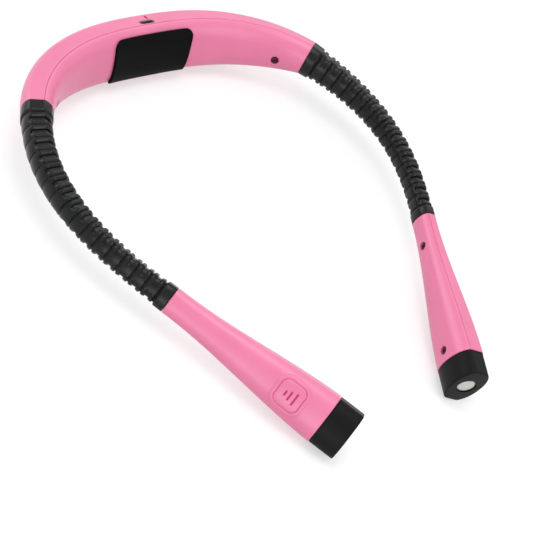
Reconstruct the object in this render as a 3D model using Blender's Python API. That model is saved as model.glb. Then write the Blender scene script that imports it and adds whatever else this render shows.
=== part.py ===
"""Neck reading light: a rigid neck band, two ribbed bendable arms and two lamp heads.

Every long piece follows one centre line, measured as a run from the middle of the band.
Positive runs lead to the right lamp and negative runs to the left one.
At each run a section has two axes: out, away from the neck, and up, leaned out by section_lean.
The light lies on a table, on the belly of the band and the two bezel caps.
"""

from functools import lru_cache
from math import asin, atan2, cos, hypot, pi, radians, sin, sqrt

import bmesh
import bpy
from mathutils import Matrix, Vector

# Fits and overruns
CLEARANCE = 0.0003
CUT_OVERRUN = 0.004
HIDDEN_OVERLAP = 0.0006

# Centre line
BAND_HALF_RUN = 0.1000
BAND_TURN = radians(57.4)
BAND_TURN_POWER = 1.56
BAND_DROOP = 0.0079
BAND_TAPER_POWER = 2.25
ARM_TURN = radians(58.3)
LEFT_EARLY_TURN_SHARE = 0.71
RIGHT_EARLY_TURN_SHARE = 0.36
HEAD_RUN = 0.0892
CAP_RUN = 0.0136
BAND_LEAN = radians(15)
LEFT_TIP_LEAN = radians(-36)
RIGHT_TIP_LEAN = radians(12)
PATH_STEPS = 240

# Sections, full width and height
BAND_MIDDLE_WIDTH = 0.0206
BAND_MIDDLE_HEIGHT = 0.0312
BAND_END_WIDTH = 0.0162
BAND_END_HEIGHT = 0.0196
ARM_FRONT_WIDTH = 0.0096
ARM_FRONT_HEIGHT = 0.0144
CAP_WIDTH = 0.0178
CAP_HEIGHT = 0.0268
HEAD_SAG = 0.0009
FACET_SHARE = 0.42
MIDDLE_SQUARENESS = 3.0
END_SQUARENESS = 2.2
SHELL_WALL = 0.0016
SEAM_GAP = 0.0003
SIDE_STEPS = 6
BAND_STEPS = 16
HEAD_STEPS = 12

# Ribbed sleeve
RIB_UNITS = 15
RIB_PITCH = 0.0073
REAR_COLLAR_RUN = 0.0066
FRONT_COLLAR_RUN = 0.0060
RIB_INSET = 0.0003
GROOVE_DEPTH = 0.0011
GROOVE_HALF_WIDTH = 0.0009
SHORT_GROOVE_DEPTH = 0.0009
SLEEVE_WAIST = 0.0028
SLEEVE_BORE_WIDTH = 0.0044
SLEEVE_BORE_HEIGHT = 0.0072
BORE_STEPS = 22
BORE_SIDES = 8

# Gooseneck core, clamps and lead
CORE_RADIUS = 0.0016
CORE_SIDES = 8
CORE_STEPS = 26
CLAMP_RUN = 0.0120
CLAMP_SETBACK = 0.0010
LEAD_RADIUS = 0.0005
LEAD_SIDES = 6
LEAD_STEPS = 38
LEAD_ARM_UP = 0.0026
LEAD_HEAD_UP = 0.0032
LEAD_EASE_RUN = 0.0140
LEAD_LAP = 0.0040

# Neck pad
PAD_HALF_RUN = 0.0262
PAD_THICKNESS = 0.0012
PAD_TOP_SHARE = 0.76
PAD_BOTTOM_SHARE = -0.80
PAD_CORNER_RADIUS = 0.0050
PAD_STEPS = 9
PAD_SIDE_STEPS = 8

# Charging port, board and cell
PORT_WIDTH = 0.0093
PORT_HEIGHT = 0.0035
PORT_SEAM_OFFSET = 0.0024
PORT_END_SEGMENTS = 6
SOCKET_DEPTH = 0.0073
SOCKET_WALL = 0.0003
TONGUE_WIDTH = 0.0067
TONGUE_THICKNESS = 0.0007
TONGUE_BASE = 0.0015
BOARD_THICKNESS = 0.0010
CHARGE_BOARD_LENGTH = 0.0300
CHARGE_BOARD_HEIGHT = 0.0180
CELL_LENGTH = 0.0400
CELL_HEIGHT = 0.0170
CELL_THICKNESS = 0.0054
CELL_CORNER_RADIUS = 0.0015
CRADLE_RIB_SPACING = 0.0240
CRADLE_RIB_WIDTH = 0.0014
INDICATOR_RUN = 0.0024
INDICATOR_OUT = 0.0022
INDICATOR_LENGTH = 0.0032
INDICATOR_WIDTH = 0.0012

# Screws
BAND_SCREW_DROP_SHARE = 0.36
HEAD_SCREW_DROP_SHARE = 0.08
SCREW_RECESS_RADIUS = 0.0022
SCREW_RECESS_DEPTH = 0.0024
SCREW_CUP_WALL = 0.0008
SCREW_FLOOR = 0.0010
SCREW_HEAD_RADIUS = 0.0018
SCREW_HEAD_HEIGHT = 0.0013
SCREW_SHANK_RADIUS = 0.0008
SCREW_SHANK_LENGTH = 0.0060
SCREW_POST_RADIUS = 0.0022
SCREW_SIDES = 10
BAND_SCREW_MARGIN = 0.0045
HEAD_REAR_SCREW_SHARE = 0.20
HEAD_FRONT_SCREW_SHARE = 0.93

# Push button on each head
BUTTON_SHARE = 0.785
BUTTON_ANGLE = radians(90)
BUTTON_SOLID_SHARES = (0.5, 1)
BUTTON_CUT_SHARES = (0.45, 1.05)
BUTTON_SIZE = 0.0131
BUTTON_CORNER_RADIUS = 0.0036
BUTTON_RING_SIZE = 0.0170
BUTTON_RING_CORNER_RADIUS = 0.0056
BUTTON_RING_RISE = 0.0005
BUTTON_RISE = 0.0006
BUTTON_TRAVEL = 0.0005
BUTTON_PLATE_THICKNESS = 0.0022
BUTTON_STEM_RADIUS = 0.0014
CORNER_SEGMENTS = 4
SWITCH_SIZE = 0.0060
SWITCH_HEIGHT = 0.0026
SWITCH_PLUNGER_RADIUS = 0.0016
SWITCH_PLUNGER_HEIGHT = 0.0007
SWITCH_BOARD_WIDTH = 0.0100
SWITCH_POST_RADIUS = 0.0011
SWITCH_POST_INSET = 0.0016

# Lamp
CAP_SPIGOT_RUN = 0.0024
CAP_FACE_THICKNESS = 0.0016
CAP_BORE_RADIUS = 0.0064
CAP_EDGE_BEVEL = 0.0007
LAMP_SIDES = 20
LENS_APERTURE_RADIUS = 0.0049
LENS_RADIUS = 0.0061
LENS_THICKNESS = 0.0014
LENS_CROWN = 0.0005
LENS_CROWN_SHARE = 0.75
LENS_INSET = 0.0002
REFLECTOR_RUN = 0.0056
REFLECTOR_RIM = 0.0007
REFLECTOR_THROAT_RADIUS = 0.0021
REFLECTOR_CURVE_SHARE = 0.35
LED_BOARD_THICKNESS = 0.0014
LED_DOME_RADIUS = 0.0015

# Joints
ARM_PIVOT_RUN = 0.0160
HEAD_PIVOT_RUN = 0.0150

ARM_RUN = REAR_COLLAR_RUN + RIB_UNITS * RIB_PITCH + FRONT_COLLAR_RUN
HEAD_START = BAND_HALF_RUN + ARM_RUN
CAP_START = HEAD_START + HEAD_RUN
CAP_END = CAP_START + CAP_RUN
BAND_SCREW_RUN = BAND_HALF_RUN - CLAMP_RUN - BAND_SCREW_MARGIN
SIDES = {"left": -1, "right": 1}

PINK = (0.85, 0.24, 0.43, 1)
BLACK_RUBBER = (0.020, 0.020, 0.021, 1)
BLACK_PLASTIC = (0.025, 0.025, 0.027, 1)
BLACK_PAD = (0.012, 0.012, 0.013, 1)
STEEL = (0.58, 0.58, 0.57, 1)
BOARD_GREEN = (0.02, 0.16, 0.07, 1)
CELL_FOIL = (0.60, 0.61, 0.63, 1)
LENS_CLEAR = (0.85, 0.84, 0.78, 1)
REFLECTOR_CHROME = (0.82, 0.82, 0.80, 1)
CLAMP_GREY = (0.20, 0.20, 0.21, 1)
LEAD_RED = (0.45, 0.03, 0.03, 1)


def clear_scene():
    for item in list(bpy.data.objects):
        bpy.data.objects.remove(item, do_unlink=True)


def smooth(share):
    share = min(max(share, 0), 1)
    return share * share * (3 - 2 * share)


def mix(first, second, share):
    return first + (second - first) * share


def heading(run):
    """Angle turned from straight across the neck towards straight ahead."""
    distance = abs(run)
    turned = BAND_TURN * min(distance / BAND_HALF_RUN, 1) ** BAND_TURN_POWER
    share = min(max((distance - BAND_HALF_RUN) / ARM_RUN, 0), 1)
    early_share = RIGHT_EARLY_TURN_SHARE if run > 0 else LEFT_EARLY_TURN_SHARE
    eased = mix(smooth(share), share * (2 - share), early_share)
    return turned + ARM_TURN * eased


def superellipse_height(share, squareness):
    return (1 - share ** squareness) ** (1 / squareness)


def side_points(width, height, squareness, steps=SIDE_STEPS):
    """Outer side of a section, from the top facet's corner down to the bottom one."""
    start = asin(FACET_SHARE ** (squareness / 2))
    points = []
    for step in range(steps + 1):
        angle = mix(start, pi - start, step / steps)
        out = width / 2 * abs(sin(angle)) ** (2 / squareness)
        up = height / 2 * abs(cos(angle)) ** (2 / squareness)
        points.append((out, up if cos(angle) > 0 else -up))
    return points


def outline(width, height, squareness):
    """Whole section as a loop: a flat top, a flat bottom and two round sides."""
    outer = side_points(width, height, squareness)
    inner = [(-out, up) for out, up in reversed(outer)]
    return outer + inner


def lowest_point(width, height, squareness, lean):
    """How far a leaned section reaches below its centre."""
    points = outline(width, height, squareness)
    return -min(up * cos(lean) - out * sin(lean) for out, up in points)


def section_lean(run):
    """Outward lean: equal on both sides of the band, while the left arm is twisted inwards."""
    tip = RIGHT_TIP_LEAN if run > 0 else LEFT_TIP_LEAN
    return mix(BAND_LEAN, tip, smooth((abs(run) - BAND_HALF_RUN) / ARM_RUN))


@lru_cache(maxsize=None)
def plan_position(run):
    """Place on the centre line, seen from above, by summing short straight steps."""
    side = -1 if run < 0 else 1
    distance = abs(run)
    across = 0
    back = 0
    spans = [(0, min(distance, BAND_HALF_RUN))]
    if distance > BAND_HALF_RUN:
        spans.append((BAND_HALF_RUN, min(distance, HEAD_START)))
    if distance > HEAD_START:
        spans.append((HEAD_START, distance))
    for start, end in spans:
        step = (end - start) / PATH_STEPS
        for index in range(PATH_STEPS):
            angle = heading(side * (start + (index + 0.5) * step))
            across += side * cos(angle) * step
            back -= sin(angle) * step
    return across, back


def band_taper(run):
    return min(run / BAND_HALF_RUN, 1) ** BAND_TAPER_POWER


def arm_fall(run):
    """How far an arm comes down from the band's end to the cap, which lies on the table."""
    tip = lowest_point(CAP_WIDTH, CAP_HEIGHT, END_SQUARENESS, section_lean(run))
    return centre_height(BAND_HALF_RUN) - tip


@lru_cache(maxsize=None)
def centre_height(run):
    """The band droops in its middle, and the arms fall evenly to the caps."""
    distance = abs(run)
    middle = lowest_point(BAND_MIDDLE_WIDTH, BAND_MIDDLE_HEIGHT, MIDDLE_SQUARENESS, BAND_LEAN)
    height = middle + BAND_DROOP * band_taper(distance)
    if distance > BAND_HALF_RUN:
        share = (distance - BAND_HALF_RUN) / (CAP_END - BAND_HALF_RUN)
        height -= arm_fall(CAP_END if run > 0 else -CAP_END) * share
    return height


@lru_cache(maxsize=None)
def section_frame(run):
    """Origin, out axis, ahead axis and up axis of the section at a run."""
    side = -1 if run < 0 else 1
    distance = abs(run)
    across, back = plan_position(run)
    origin = Vector((across, back, centre_height(run)))
    angle = heading(run)
    fall = atan2(arm_fall(side * CAP_END), CAP_END - BAND_HALF_RUN)
    fall *= smooth((distance - BAND_HALF_RUN) / REAR_COLLAR_RUN)
    ahead = Vector((side * cos(angle) * cos(fall), -sin(angle) * cos(fall), -sin(fall)))
    out = Vector((side * sin(angle), cos(angle), 0))
    up = side * ahead.cross(out)
    lean = section_lean(run)
    leaned_out = out * cos(lean) - up * sin(lean)
    leaned_up = up * cos(lean) + out * sin(lean)
    return origin, leaned_out, ahead, leaned_up


def point_at(run, out, up):
    origin, out_axis, _, up_axis = section_frame(run)
    return origin + out_axis * out + up_axis * up


def band_section(run, inset=0):
    """Width, height and squareness of the neck band, less an inset on every side."""
    taper = band_taper(abs(run))
    width = mix(BAND_MIDDLE_WIDTH, BAND_END_WIDTH, taper) - 2 * inset
    height = mix(BAND_MIDDLE_HEIGHT, BAND_END_HEIGHT, taper) - 2 * inset
    return width, height, mix(MIDDLE_SQUARENESS, END_SQUARENESS, taper)


def sleeve_section(run, inset=0):
    share = (abs(run) - BAND_HALF_RUN) / ARM_RUN
    waist = SLEEVE_WAIST * 4 * share * (1 - share)
    width = mix(BAND_END_WIDTH, ARM_FRONT_WIDTH, share) - 2 * inset
    height = mix(BAND_END_HEIGHT, ARM_FRONT_HEIGHT, share) - waist - 2 * inset
    return width, height, END_SQUARENESS


def head_section(run, inset=0):
    share = min(max((abs(run) - HEAD_START) / HEAD_RUN, 0), 1)
    sag = HEAD_SAG * 4 * share * (1 - share)
    width = mix(ARM_FRONT_WIDTH, CAP_WIDTH, smooth(share)) - 2 * inset
    height = mix(ARM_FRONT_HEIGHT, CAP_HEIGHT, smooth(share)) - sag - 2 * inset
    return width, height, END_SQUARENESS


def spread(start, end, steps):
    return [mix(start, end, step / steps) for step in range(steps + 1)]


def loft(loops):
    """Closed body through loops of world points, with a flat face on each end."""
    body = bmesh.new()
    rings = [[body.verts.new(point) for point in loop] for loop in loops]
    count = len(rings[0])
    for first, second in zip(rings, rings[1:]):
        for index in range(count):
            after = (index + 1) % count
            body.faces.new((first[index], first[after], second[after], second[index]))
    body.faces.new(rings[0])
    body.faces.new(rings[-1])
    bmesh.ops.recalc_face_normals(body, faces=body.faces)
    return body


def sweep(runs, profile):
    """Loft along the centre line through the (out, up) loop that profile(run) gives."""
    return loft([[point_at(run, out, up) for out, up in profile(run)] for run in runs])


def circle(radius, sides, out=0, up=0):
    turns = [2 * pi * index / sides for index in range(sides)]
    return [(out + radius * cos(turn), up + radius * sin(turn)) for turn in turns]


def turned(side, profile, sides=LAMP_SIDES):
    """Closed body turned about a lamp's axis from (run, radius) points."""
    body = bmesh.new()
    rings = []
    for run, radius in profile:
        if radius == 0:
            rings.append([body.verts.new(point_at(side * run, 0, 0))])
        else:
            loop = circle(radius, sides)
            rings.append([body.verts.new(point_at(side * run, *point)) for point in loop])
    closed = profile[0][1] != 0
    pairs = list(zip(rings, rings[1:]))
    if closed:
        pairs.append((rings[-1], rings[0]))
    for first, second in pairs:
        for index in range(sides):
            after = (index + 1) % sides
            corners = [first[index % len(first)], first[after % len(first)]]
            corners += [second[after % len(second)], second[index % len(second)]]
            body.faces.new(list(dict.fromkeys(corners)))
    bmesh.ops.recalc_face_normals(body, faces=body.faces)
    return body


def rod(start, end, radius, sides=SCREW_SIDES, end_radius=None):
    """Closed cylinder or cone between two world points."""
    axis = (end - start).normalized()
    across = axis.orthogonal().normalized()
    third = axis.cross(across)
    loops = []
    for centre, size in ((start, radius), (end, end_radius or radius)):
        loops.append([centre + across * x + third * y for x, y in circle(size, sides)])
    return loft(loops)


def rounded_rectangle(width, height, corner, segments=CORNER_SEGMENTS):
    points = []
    for quarter, (x_sign, y_sign) in enumerate(((1, 1), (-1, 1), (-1, -1), (1, -1))):
        x_centre = x_sign * (width / 2 - corner)
        y_centre = y_sign * (height / 2 - corner)
        for step in range(segments + 1):
            turn = (quarter + step / segments) * pi / 2
            points.append((x_centre + corner * cos(turn), y_centre + corner * sin(turn)))
    return points


def prism(points, origin, x_axis, y_axis, normal, low, high):
    """Outline on the x and y axes, raised along the normal between two heights."""
    loops = []
    for level in (low, high):
        base = origin + normal * level
        loops.append([base + x_axis * x + y_axis * y for x, y in points])
    return loft(loops)


def make_material(name, colour, roughness, metallic=0, transmission=0):
    material = bpy.data.materials.new(name)
    material.use_nodes = True
    shader = material.node_tree.nodes["Principled BSDF"]
    shader.inputs["Base Color"].default_value = colour
    shader.inputs["Roughness"].default_value = roughness
    shader.inputs["Metallic"].default_value = metallic
    shader.inputs["Transmission Weight"].default_value = transmission
    material.diffuse_color = colour
    return material


def as_object(name, body, material=None, sharp_angle=radians(20)):
    mesh = bpy.data.meshes.new(name)
    body.to_mesh(mesh)
    body.free()
    mesh.shade_smooth()
    mesh.set_sharp_from_angle(angle=sharp_angle)
    item = bpy.data.objects.new(name, mesh)
    bpy.context.scene.collection.objects.link(item)
    if material:
        mesh.materials.append(material)
    return item


def combine(item, bodies, operation):
    """Apply one Boolean for each body to the object, and keep only the result."""
    for body in bodies:
        tool = as_object("shape_tool", body)
        modifier = item.modifiers.new("shape", "BOOLEAN")
        modifier.operation = operation
        modifier.solver = "EXACT"
        modifier.object = tool
        depsgraph = bpy.context.evaluated_depsgraph_get()
        result = bpy.data.meshes.new_from_object(item.evaluated_get(depsgraph))
        item.modifiers.clear()
        old_mesh = item.data
        item.data = result
        result.name = item.name
        bpy.data.meshes.remove(old_mesh)
        bpy.data.objects.remove(tool, do_unlink=True)


def join_on(item, *bodies):
    combine(item, bodies, "UNION")


def cut_from(item, *bodies):
    combine(item, bodies, "DIFFERENCE")


def keep_inside(item, body):
    combine(item, [body], "INTERSECT")


def outer_half(section, inset_section, edge):
    """C-shaped profile of the shell away from the neck, with the top facet on it."""
    skin = side_points(*section)
    lining = side_points(*inset_section)
    seam = [(-skin[0][0] + edge, skin[0][1])]
    low_seam = [(-skin[-1][0] + edge, skin[-1][1])]
    lining_seam = [(-lining[0][0] + edge, lining[0][1])]
    lining_low = [(-lining[-1][0] + edge, lining[-1][1])]
    return seam + skin + low_seam + lining_low + lining[::-1] + lining_seam


def inner_half(section, inset_section, edge):
    """C-shaped profile of the shell on the neck side, up to both seams."""
    skin = [(-out, up) for out, up in side_points(*section)]
    lining = [(-out, up) for out, up in side_points(*inset_section)]
    for points in (skin, lining):
        points[0] = (points[0][0] - edge, points[0][1])
        points[-1] = (points[-1][0] - edge, points[-1][1])
    return skin + lining[::-1]


def shell_profile(half, section, room=0):
    """Profile along a shell, or of the room that it needs when room is above zero."""
    edge = SEAM_GAP / 2 - room
    return lambda run: half(section(run, -room), section(run, SHELL_WALL + room), edge)


def shell_room(half, run, section):
    """Short stretch of the room that a shell needs, around a screw's run."""
    reach = SCREW_RECESS_RADIUS + 2 * SCREW_CUP_WALL
    return sweep(spread(run - reach, run + reach, 2), shell_profile(half, section, CLEARANCE))


def screw_line(run, section):
    """Height of a screw on its section, and the half width of the section there."""
    width, height, squareness = section(run)
    drop_share = HEAD_SCREW_DROP_SHARE if abs(run) > HEAD_START else BAND_SCREW_DROP_SHARE
    half_width = width / 2 * superellipse_height(drop_share, squareness)
    return -drop_share * height / 2, half_width


def as_body(item):
    """Take the mesh out of a helper object and remove the object."""
    body = bmesh.new()
    body.from_mesh(item.data)
    bpy.data.objects.remove(item, do_unlink=True)
    return body


def screw_cup(run, section):
    """Sunken cup on the inner shell, kept clear of the outer one."""
    up, half_width = screw_line(run, section)
    start = point_at(run, -half_width + SHELL_WALL / 2, up)
    end = point_at(run, -half_width + SCREW_RECESS_DEPTH + SCREW_FLOOR, up)
    cup = as_object("cup_shape", rod(start, end, SCREW_RECESS_RADIUS + SCREW_CUP_WALL))
    cut_from(cup, shell_room(outer_half, run, section))
    return as_body(cup)


def screw_recess(run, section):
    up, half_width = screw_line(run, section)
    start = point_at(run, -half_width - CUT_OVERRUN, up)
    end = point_at(run, -half_width + SCREW_RECESS_DEPTH, up)
    return rod(start, end, SCREW_RECESS_RADIUS)


def screw_passage(run, section):
    up, half_width = screw_line(run, section)
    start = point_at(run, -half_width + SCREW_RECESS_DEPTH - SCREW_FLOOR, up)
    end = point_at(run, -half_width + SCREW_RECESS_DEPTH + SCREW_FLOOR + CUT_OVERRUN, up)
    return rod(start, end, SCREW_SHANK_RADIUS + CLEARANCE)


def screw_post(run, section):
    """Post on the outer shell, up to the cup of the inner shell and clear of its lining."""
    up, half_width = screw_line(run, section)
    start_out = -half_width + SCREW_RECESS_DEPTH + SCREW_FLOOR + CLEARANCE
    start = point_at(run, start_out, up)
    end = point_at(run, half_width - SHELL_WALL / 2, up)
    post = as_object("post_shape", rod(start, end, SCREW_POST_RADIUS))
    cut_from(post, shell_room(inner_half, run, section))
    return as_body(post)


def screw_pilot(run, section):
    up, half_width = screw_line(run, section)
    post_out = -half_width + SCREW_RECESS_DEPTH + SCREW_FLOOR
    start = point_at(run, post_out - SCREW_FLOOR, up)
    depth = SCREW_SHANK_LENGTH - SCREW_FLOOR + CLEARANCE
    end = point_at(run, post_out + depth, up)
    return rod(start, end, SCREW_SHANK_RADIUS + CLEARANCE)


def make_screw(name, run, section, material):
    up, half_width = screw_line(run, section)
    seat = -half_width + SCREW_RECESS_DEPTH - CLEARANCE
    head_top = point_at(run, seat - SCREW_HEAD_HEIGHT, up)
    head_foot = point_at(run, seat, up)
    tip = point_at(run, seat + SCREW_SHANK_LENGTH, up)
    shank_start = point_at(run, seat - SCREW_HEAD_HEIGHT / 2, up)
    screw = as_object(name, rod(head_top, head_foot, SCREW_HEAD_RADIUS), material)
    join_on(screw, rod(shank_start, tip, SCREW_SHANK_RADIUS))
    return screw


def add_screw_seats(outer, inner, run, section):
    join_on(outer, screw_post(run, section))
    cut_from(outer, screw_pilot(run, section))
    join_on(inner, screw_cup(run, section))
    cut_from(inner, screw_recess(run, section), screw_passage(run, section))


def port_place():
    """Middle of the charging port: centre of the band, just outside the seam."""
    width, height, squareness = band_section(0)
    out = -FACET_SHARE * width / 2 + PORT_SEAM_OFFSET
    up = height / 2 * superellipse_height(FACET_SHARE, squareness)
    return out, up


def port_prism(width, height, low, high):
    """Rounded slot about the port's axis, between two depths under the facet."""
    out, up = port_place()
    origin, out_axis, ahead, up_axis = section_frame(0)
    centre = origin + out_axis * out + up_axis * up
    points = rounded_rectangle(width, height, height / 2, PORT_END_SEGMENTS)
    return prism(points, centre, ahead, out_axis, up_axis, low, high)


def band_box(length, height, low_out, high_out, run=0, corner=0):
    """Straight block in the middle of the band, between two distances outwards."""
    origin, out_axis, ahead, up_axis = section_frame(0)
    centre = origin + ahead * run
    if corner:
        points = rounded_rectangle(length, height, corner)
    else:
        points = [(x * length / 2, y * height / 2) for x, y in ((1, 1), (-1, 1), (-1, -1), (1, -1))]
    return prism(points, centre, ahead, up_axis, out_axis, low_out, high_out)


def indicator_prism(inset, low, high):
    """Slim slot across the top facet, beside the port."""
    _, up = port_place()
    origin, out_axis, ahead, up_axis = section_frame(0)
    centre = origin + ahead * INDICATOR_RUN + out_axis * INDICATOR_OUT + up_axis * up
    width = INDICATOR_WIDTH - 2 * inset
    length = INDICATOR_LENGTH - 2 * inset
    points = rounded_rectangle(width, length, width / 2)
    return prism(points, centre, ahead, out_axis, up_axis, low, high)


def board_face():
    """Distance outwards of the charge board's neck side, behind the socket."""
    out, _ = port_place()
    return out + PORT_HEIGHT / 2


def cell_face():
    return board_face() + BOARD_THICKNESS + CLEARANCE


def make_neck_shells(pink):
    runs = spread(-BAND_HALF_RUN, BAND_HALF_RUN, 2 * BAND_STEPS)
    outer = as_object("neck_outer_shell", sweep(runs, shell_profile(outer_half, band_section)), pink)
    inner = as_object("neck_inner_shell", sweep(runs, shell_profile(inner_half, band_section)), pink)
    for side in SIDES.values():
        add_screw_seats(outer, inner, side * BAND_SCREW_RUN, band_section)
    rib_start = cell_face() + CELL_THICKNESS + CLEARANCE
    rib_end = BAND_MIDDLE_WIDTH / 2 - SHELL_WALL / 2
    for side in SIDES.values():
        rib_run = side * CRADLE_RIB_SPACING / 2
        join_on(outer, band_box(CRADLE_RIB_WIDTH, CELL_HEIGHT, rib_start, rib_end, run=rib_run))
    cut_from(outer, port_prism(PORT_WIDTH, PORT_HEIGHT, -CUT_OVERRUN, CUT_OVERRUN))
    cut_from(outer, indicator_prism(0, -CUT_OVERRUN, CUT_OVERRUN))
    return [outer, inner]


def pad_profile(run):
    """Strip over the inner side, from under the seam round to the lower edge."""
    section = band_section(run)
    width, height, squareness = section
    rounding = abs(run) - (PAD_HALF_RUN - PAD_CORNER_RADIUS)
    drop = 0
    if rounding > 0:
        drop = PAD_CORNER_RADIUS - sqrt(max(PAD_CORNER_RADIUS ** 2 - rounding ** 2, 0))
    top_share = PAD_TOP_SHARE - drop / (height / 2)
    start = atan2(sqrt(1 - top_share ** squareness), top_share ** (squareness / 2))
    low_share = -PAD_BOTTOM_SHARE
    end = pi - atan2(sqrt(1 - low_share ** squareness), low_share ** (squareness / 2))
    loops = []
    for lift in (CLEARANCE, CLEARANCE + PAD_THICKNESS):
        points = []
        for angle in spread(start, end, PAD_SIDE_STEPS):
            out = (width / 2 + lift) * abs(sin(angle)) ** (2 / squareness)
            up = (height / 2 + lift) * abs(cos(angle)) ** (2 / squareness)
            points.append((-out, up if cos(angle) > 0 else -up))
        loops.append(points)
    return loops[0] + loops[1][::-1]


def make_pad(material):
    return as_object("neck_pad", sweep(pad_runs(), pad_profile), material)


def pad_runs():
    """Runs across the pad, closer together over its rounded corners."""
    straight = PAD_HALF_RUN - PAD_CORNER_RADIUS
    corner = [straight + PAD_CORNER_RADIUS * sin(turn) for turn in spread(0, pi / 2, 4)]
    middle = spread(-straight, straight, PAD_STEPS)
    return [-run for run in reversed(corner[1:])] + middle + corner[1:]


def make_charging_parts(steel, board_material, foil, clear):
    outline_gap = 2 * CLEARANCE
    socket = as_object(
        "usb_c_socket",
        port_prism(PORT_WIDTH - outline_gap, PORT_HEIGHT - outline_gap, -SOCKET_DEPTH, -CLEARANCE),
        steel,
    )
    hollow = outline_gap + 2 * SOCKET_WALL
    bore = port_prism(
        PORT_WIDTH - hollow, PORT_HEIGHT - hollow, TONGUE_BASE - SOCKET_DEPTH, CUT_OVERRUN
    )
    cut_from(socket, bore)
    tongue_low = -SOCKET_DEPTH + TONGUE_BASE / 2
    join_on(socket, port_prism(TONGUE_WIDTH, TONGUE_THICKNESS, tongue_low, -TONGUE_BASE))
    board_low = board_face()
    board = as_object(
        "charge_board",
        band_box(CHARGE_BOARD_LENGTH, CHARGE_BOARD_HEIGHT, board_low, board_low + BOARD_THICKNESS),
        board_material,
    )
    cell_low = cell_face()
    cell = as_object(
        "battery_cell",
        band_box(
            CELL_LENGTH, CELL_HEIGHT, cell_low, cell_low + CELL_THICKNESS, corner=CELL_CORNER_RADIUS
        ),
        foil,
    )
    pipe_depth = port_place()[1] - CELL_HEIGHT / 2 - CLEARANCE
    pipe = as_object("charge_light_pipe", indicator_prism(CLEARANCE, -pipe_depth, 0), clear)
    return [socket, board, cell, pipe]


def sleeve_rings():
    """Runs of the sleeve's rings with the depths of the grooves all round and on the ribbed side."""
    flank = GROOVE_HALF_WIDTH
    rings = [(CLEARANCE, 0, 0), (REAR_COLLAR_RUN - flank, 0, 0)]
    for unit in range(RIB_UNITS + 1):
        start = REAR_COLLAR_RUN + unit * RIB_PITCH
        rings.append((start, GROOVE_DEPTH, 0))
        if unit == RIB_UNITS:
            break
        middle = start + RIB_PITCH / 2
        rings.append((start + flank, RIB_INSET, 0))
        rings.append((middle - flank, RIB_INSET, 0))
        rings.append((middle, RIB_INSET, SHORT_GROOVE_DEPTH))
        rings.append((middle + flank, RIB_INSET, 0))
        rings.append((start + RIB_PITCH - flank, RIB_INSET, 0))
    rings.append((ARM_RUN - FRONT_COLLAR_RUN + flank, 0, 0))
    rings.append((ARM_RUN - CLEARANCE, 0, 0))
    return rings


def sleeve_loop(side, distance, depth, short_depth):
    """Both arms have the same sleeve, smooth on the left and ribbed on top, below and on the right."""
    run = side * (BAND_HALF_RUN + distance)
    skin = outline(*sleeve_section(run, depth))
    sunken = outline(*sleeve_section(run, depth + short_depth))
    facet_up = max(up for _, up in skin)
    loop = []
    for upper, lower in zip(skin, sunken):
        on_facet = abs(upper[1]) > facet_up - CLEARANCE
        ribbed = side * upper[0] > 0
        loop.append(point_at(run, *(lower if on_facet or ribbed else upper)))
    return loop


def make_sleeve(name, side, material):
    loops = [sleeve_loop(side, *ring) for ring in sleeve_rings()]
    sleeve = as_object(name, loft(loops), material, sharp_angle=radians(12))
    start = side * (BAND_HALF_RUN - CUT_OVERRUN)
    end = side * (HEAD_START + CUT_OVERRUN)
    bore = circle(SLEEVE_BORE_WIDTH / 2, BORE_SIDES)
    flatness = SLEEVE_BORE_HEIGHT / SLEEVE_BORE_WIDTH
    flat_bore = [(out, up * flatness) for out, up in bore]
    cut_from(sleeve, sweep(spread(start, end, BORE_STEPS), lambda run: flat_bore))
    return sleeve


def make_core(name, side, material):
    start = side * (BAND_HALF_RUN - CLAMP_RUN)
    end = side * (HEAD_START + CLAMP_RUN)
    profile = circle(CORE_RADIUS, CORE_SIDES)
    return as_object(name, sweep(spread(start, end, CORE_STEPS), lambda run: profile), material)


def make_clamp(name, start, end, section, material):
    """Block that fills the end of a shell and holds the gooseneck core."""
    inset = SHELL_WALL + CLEARANCE
    clamp = as_object(
        name, sweep(spread(start, end, 4), lambda run: outline(*section(run, inset))), material
    )
    hole = CORE_RADIUS + CLEARANCE
    slot_up = LEAD_ARM_UP + LEAD_RADIUS + CLEARANCE
    slot_out = LEAD_RADIUS + CLEARANCE
    run_past = CLAMP_SETBACK if end > start else -CLAMP_SETBACK
    runs = spread(start - run_past, end + run_past, 6)
    cut_from(clamp, sweep(runs, lambda run: circle(hole, CORE_SIDES)))
    slot = [(-slot_out, 0), (slot_out, 0), (slot_out, slot_up), (-slot_out, slot_up)]
    cut_from(clamp, sweep(runs, lambda run: slot))
    return clamp


def lead_offset(distance):
    """Place of the lead in its section: on the charge board, then above the core."""
    past_cell = smooth((distance - CELL_LENGTH / 2) / LEAD_EASE_RUN)
    into_head = smooth((distance - HEAD_START - CLAMP_RUN) / LEAD_EASE_RUN * 2)
    out = mix(board_face() - LEAD_RADIUS - CLEARANCE, 0, past_cell)
    up = mix(mix(0, LEAD_ARM_UP, past_cell), LEAD_HEAD_UP, into_head)
    return out, up


def make_lead(name, side, material):
    start = CHARGE_BOARD_LENGTH / 2 - LEAD_LAP
    end = HEAD_START + BUTTON_SHARE * HEAD_RUN - switch_board_length() / 2 - CLEARANCE
    runs = [side * run for run in spread(start, end, LEAD_STEPS)]
    body = sweep(runs, lambda run: circle(LEAD_RADIUS, LEAD_SIDES, *lead_offset(abs(run))))
    return as_object(name, body, material)


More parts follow.
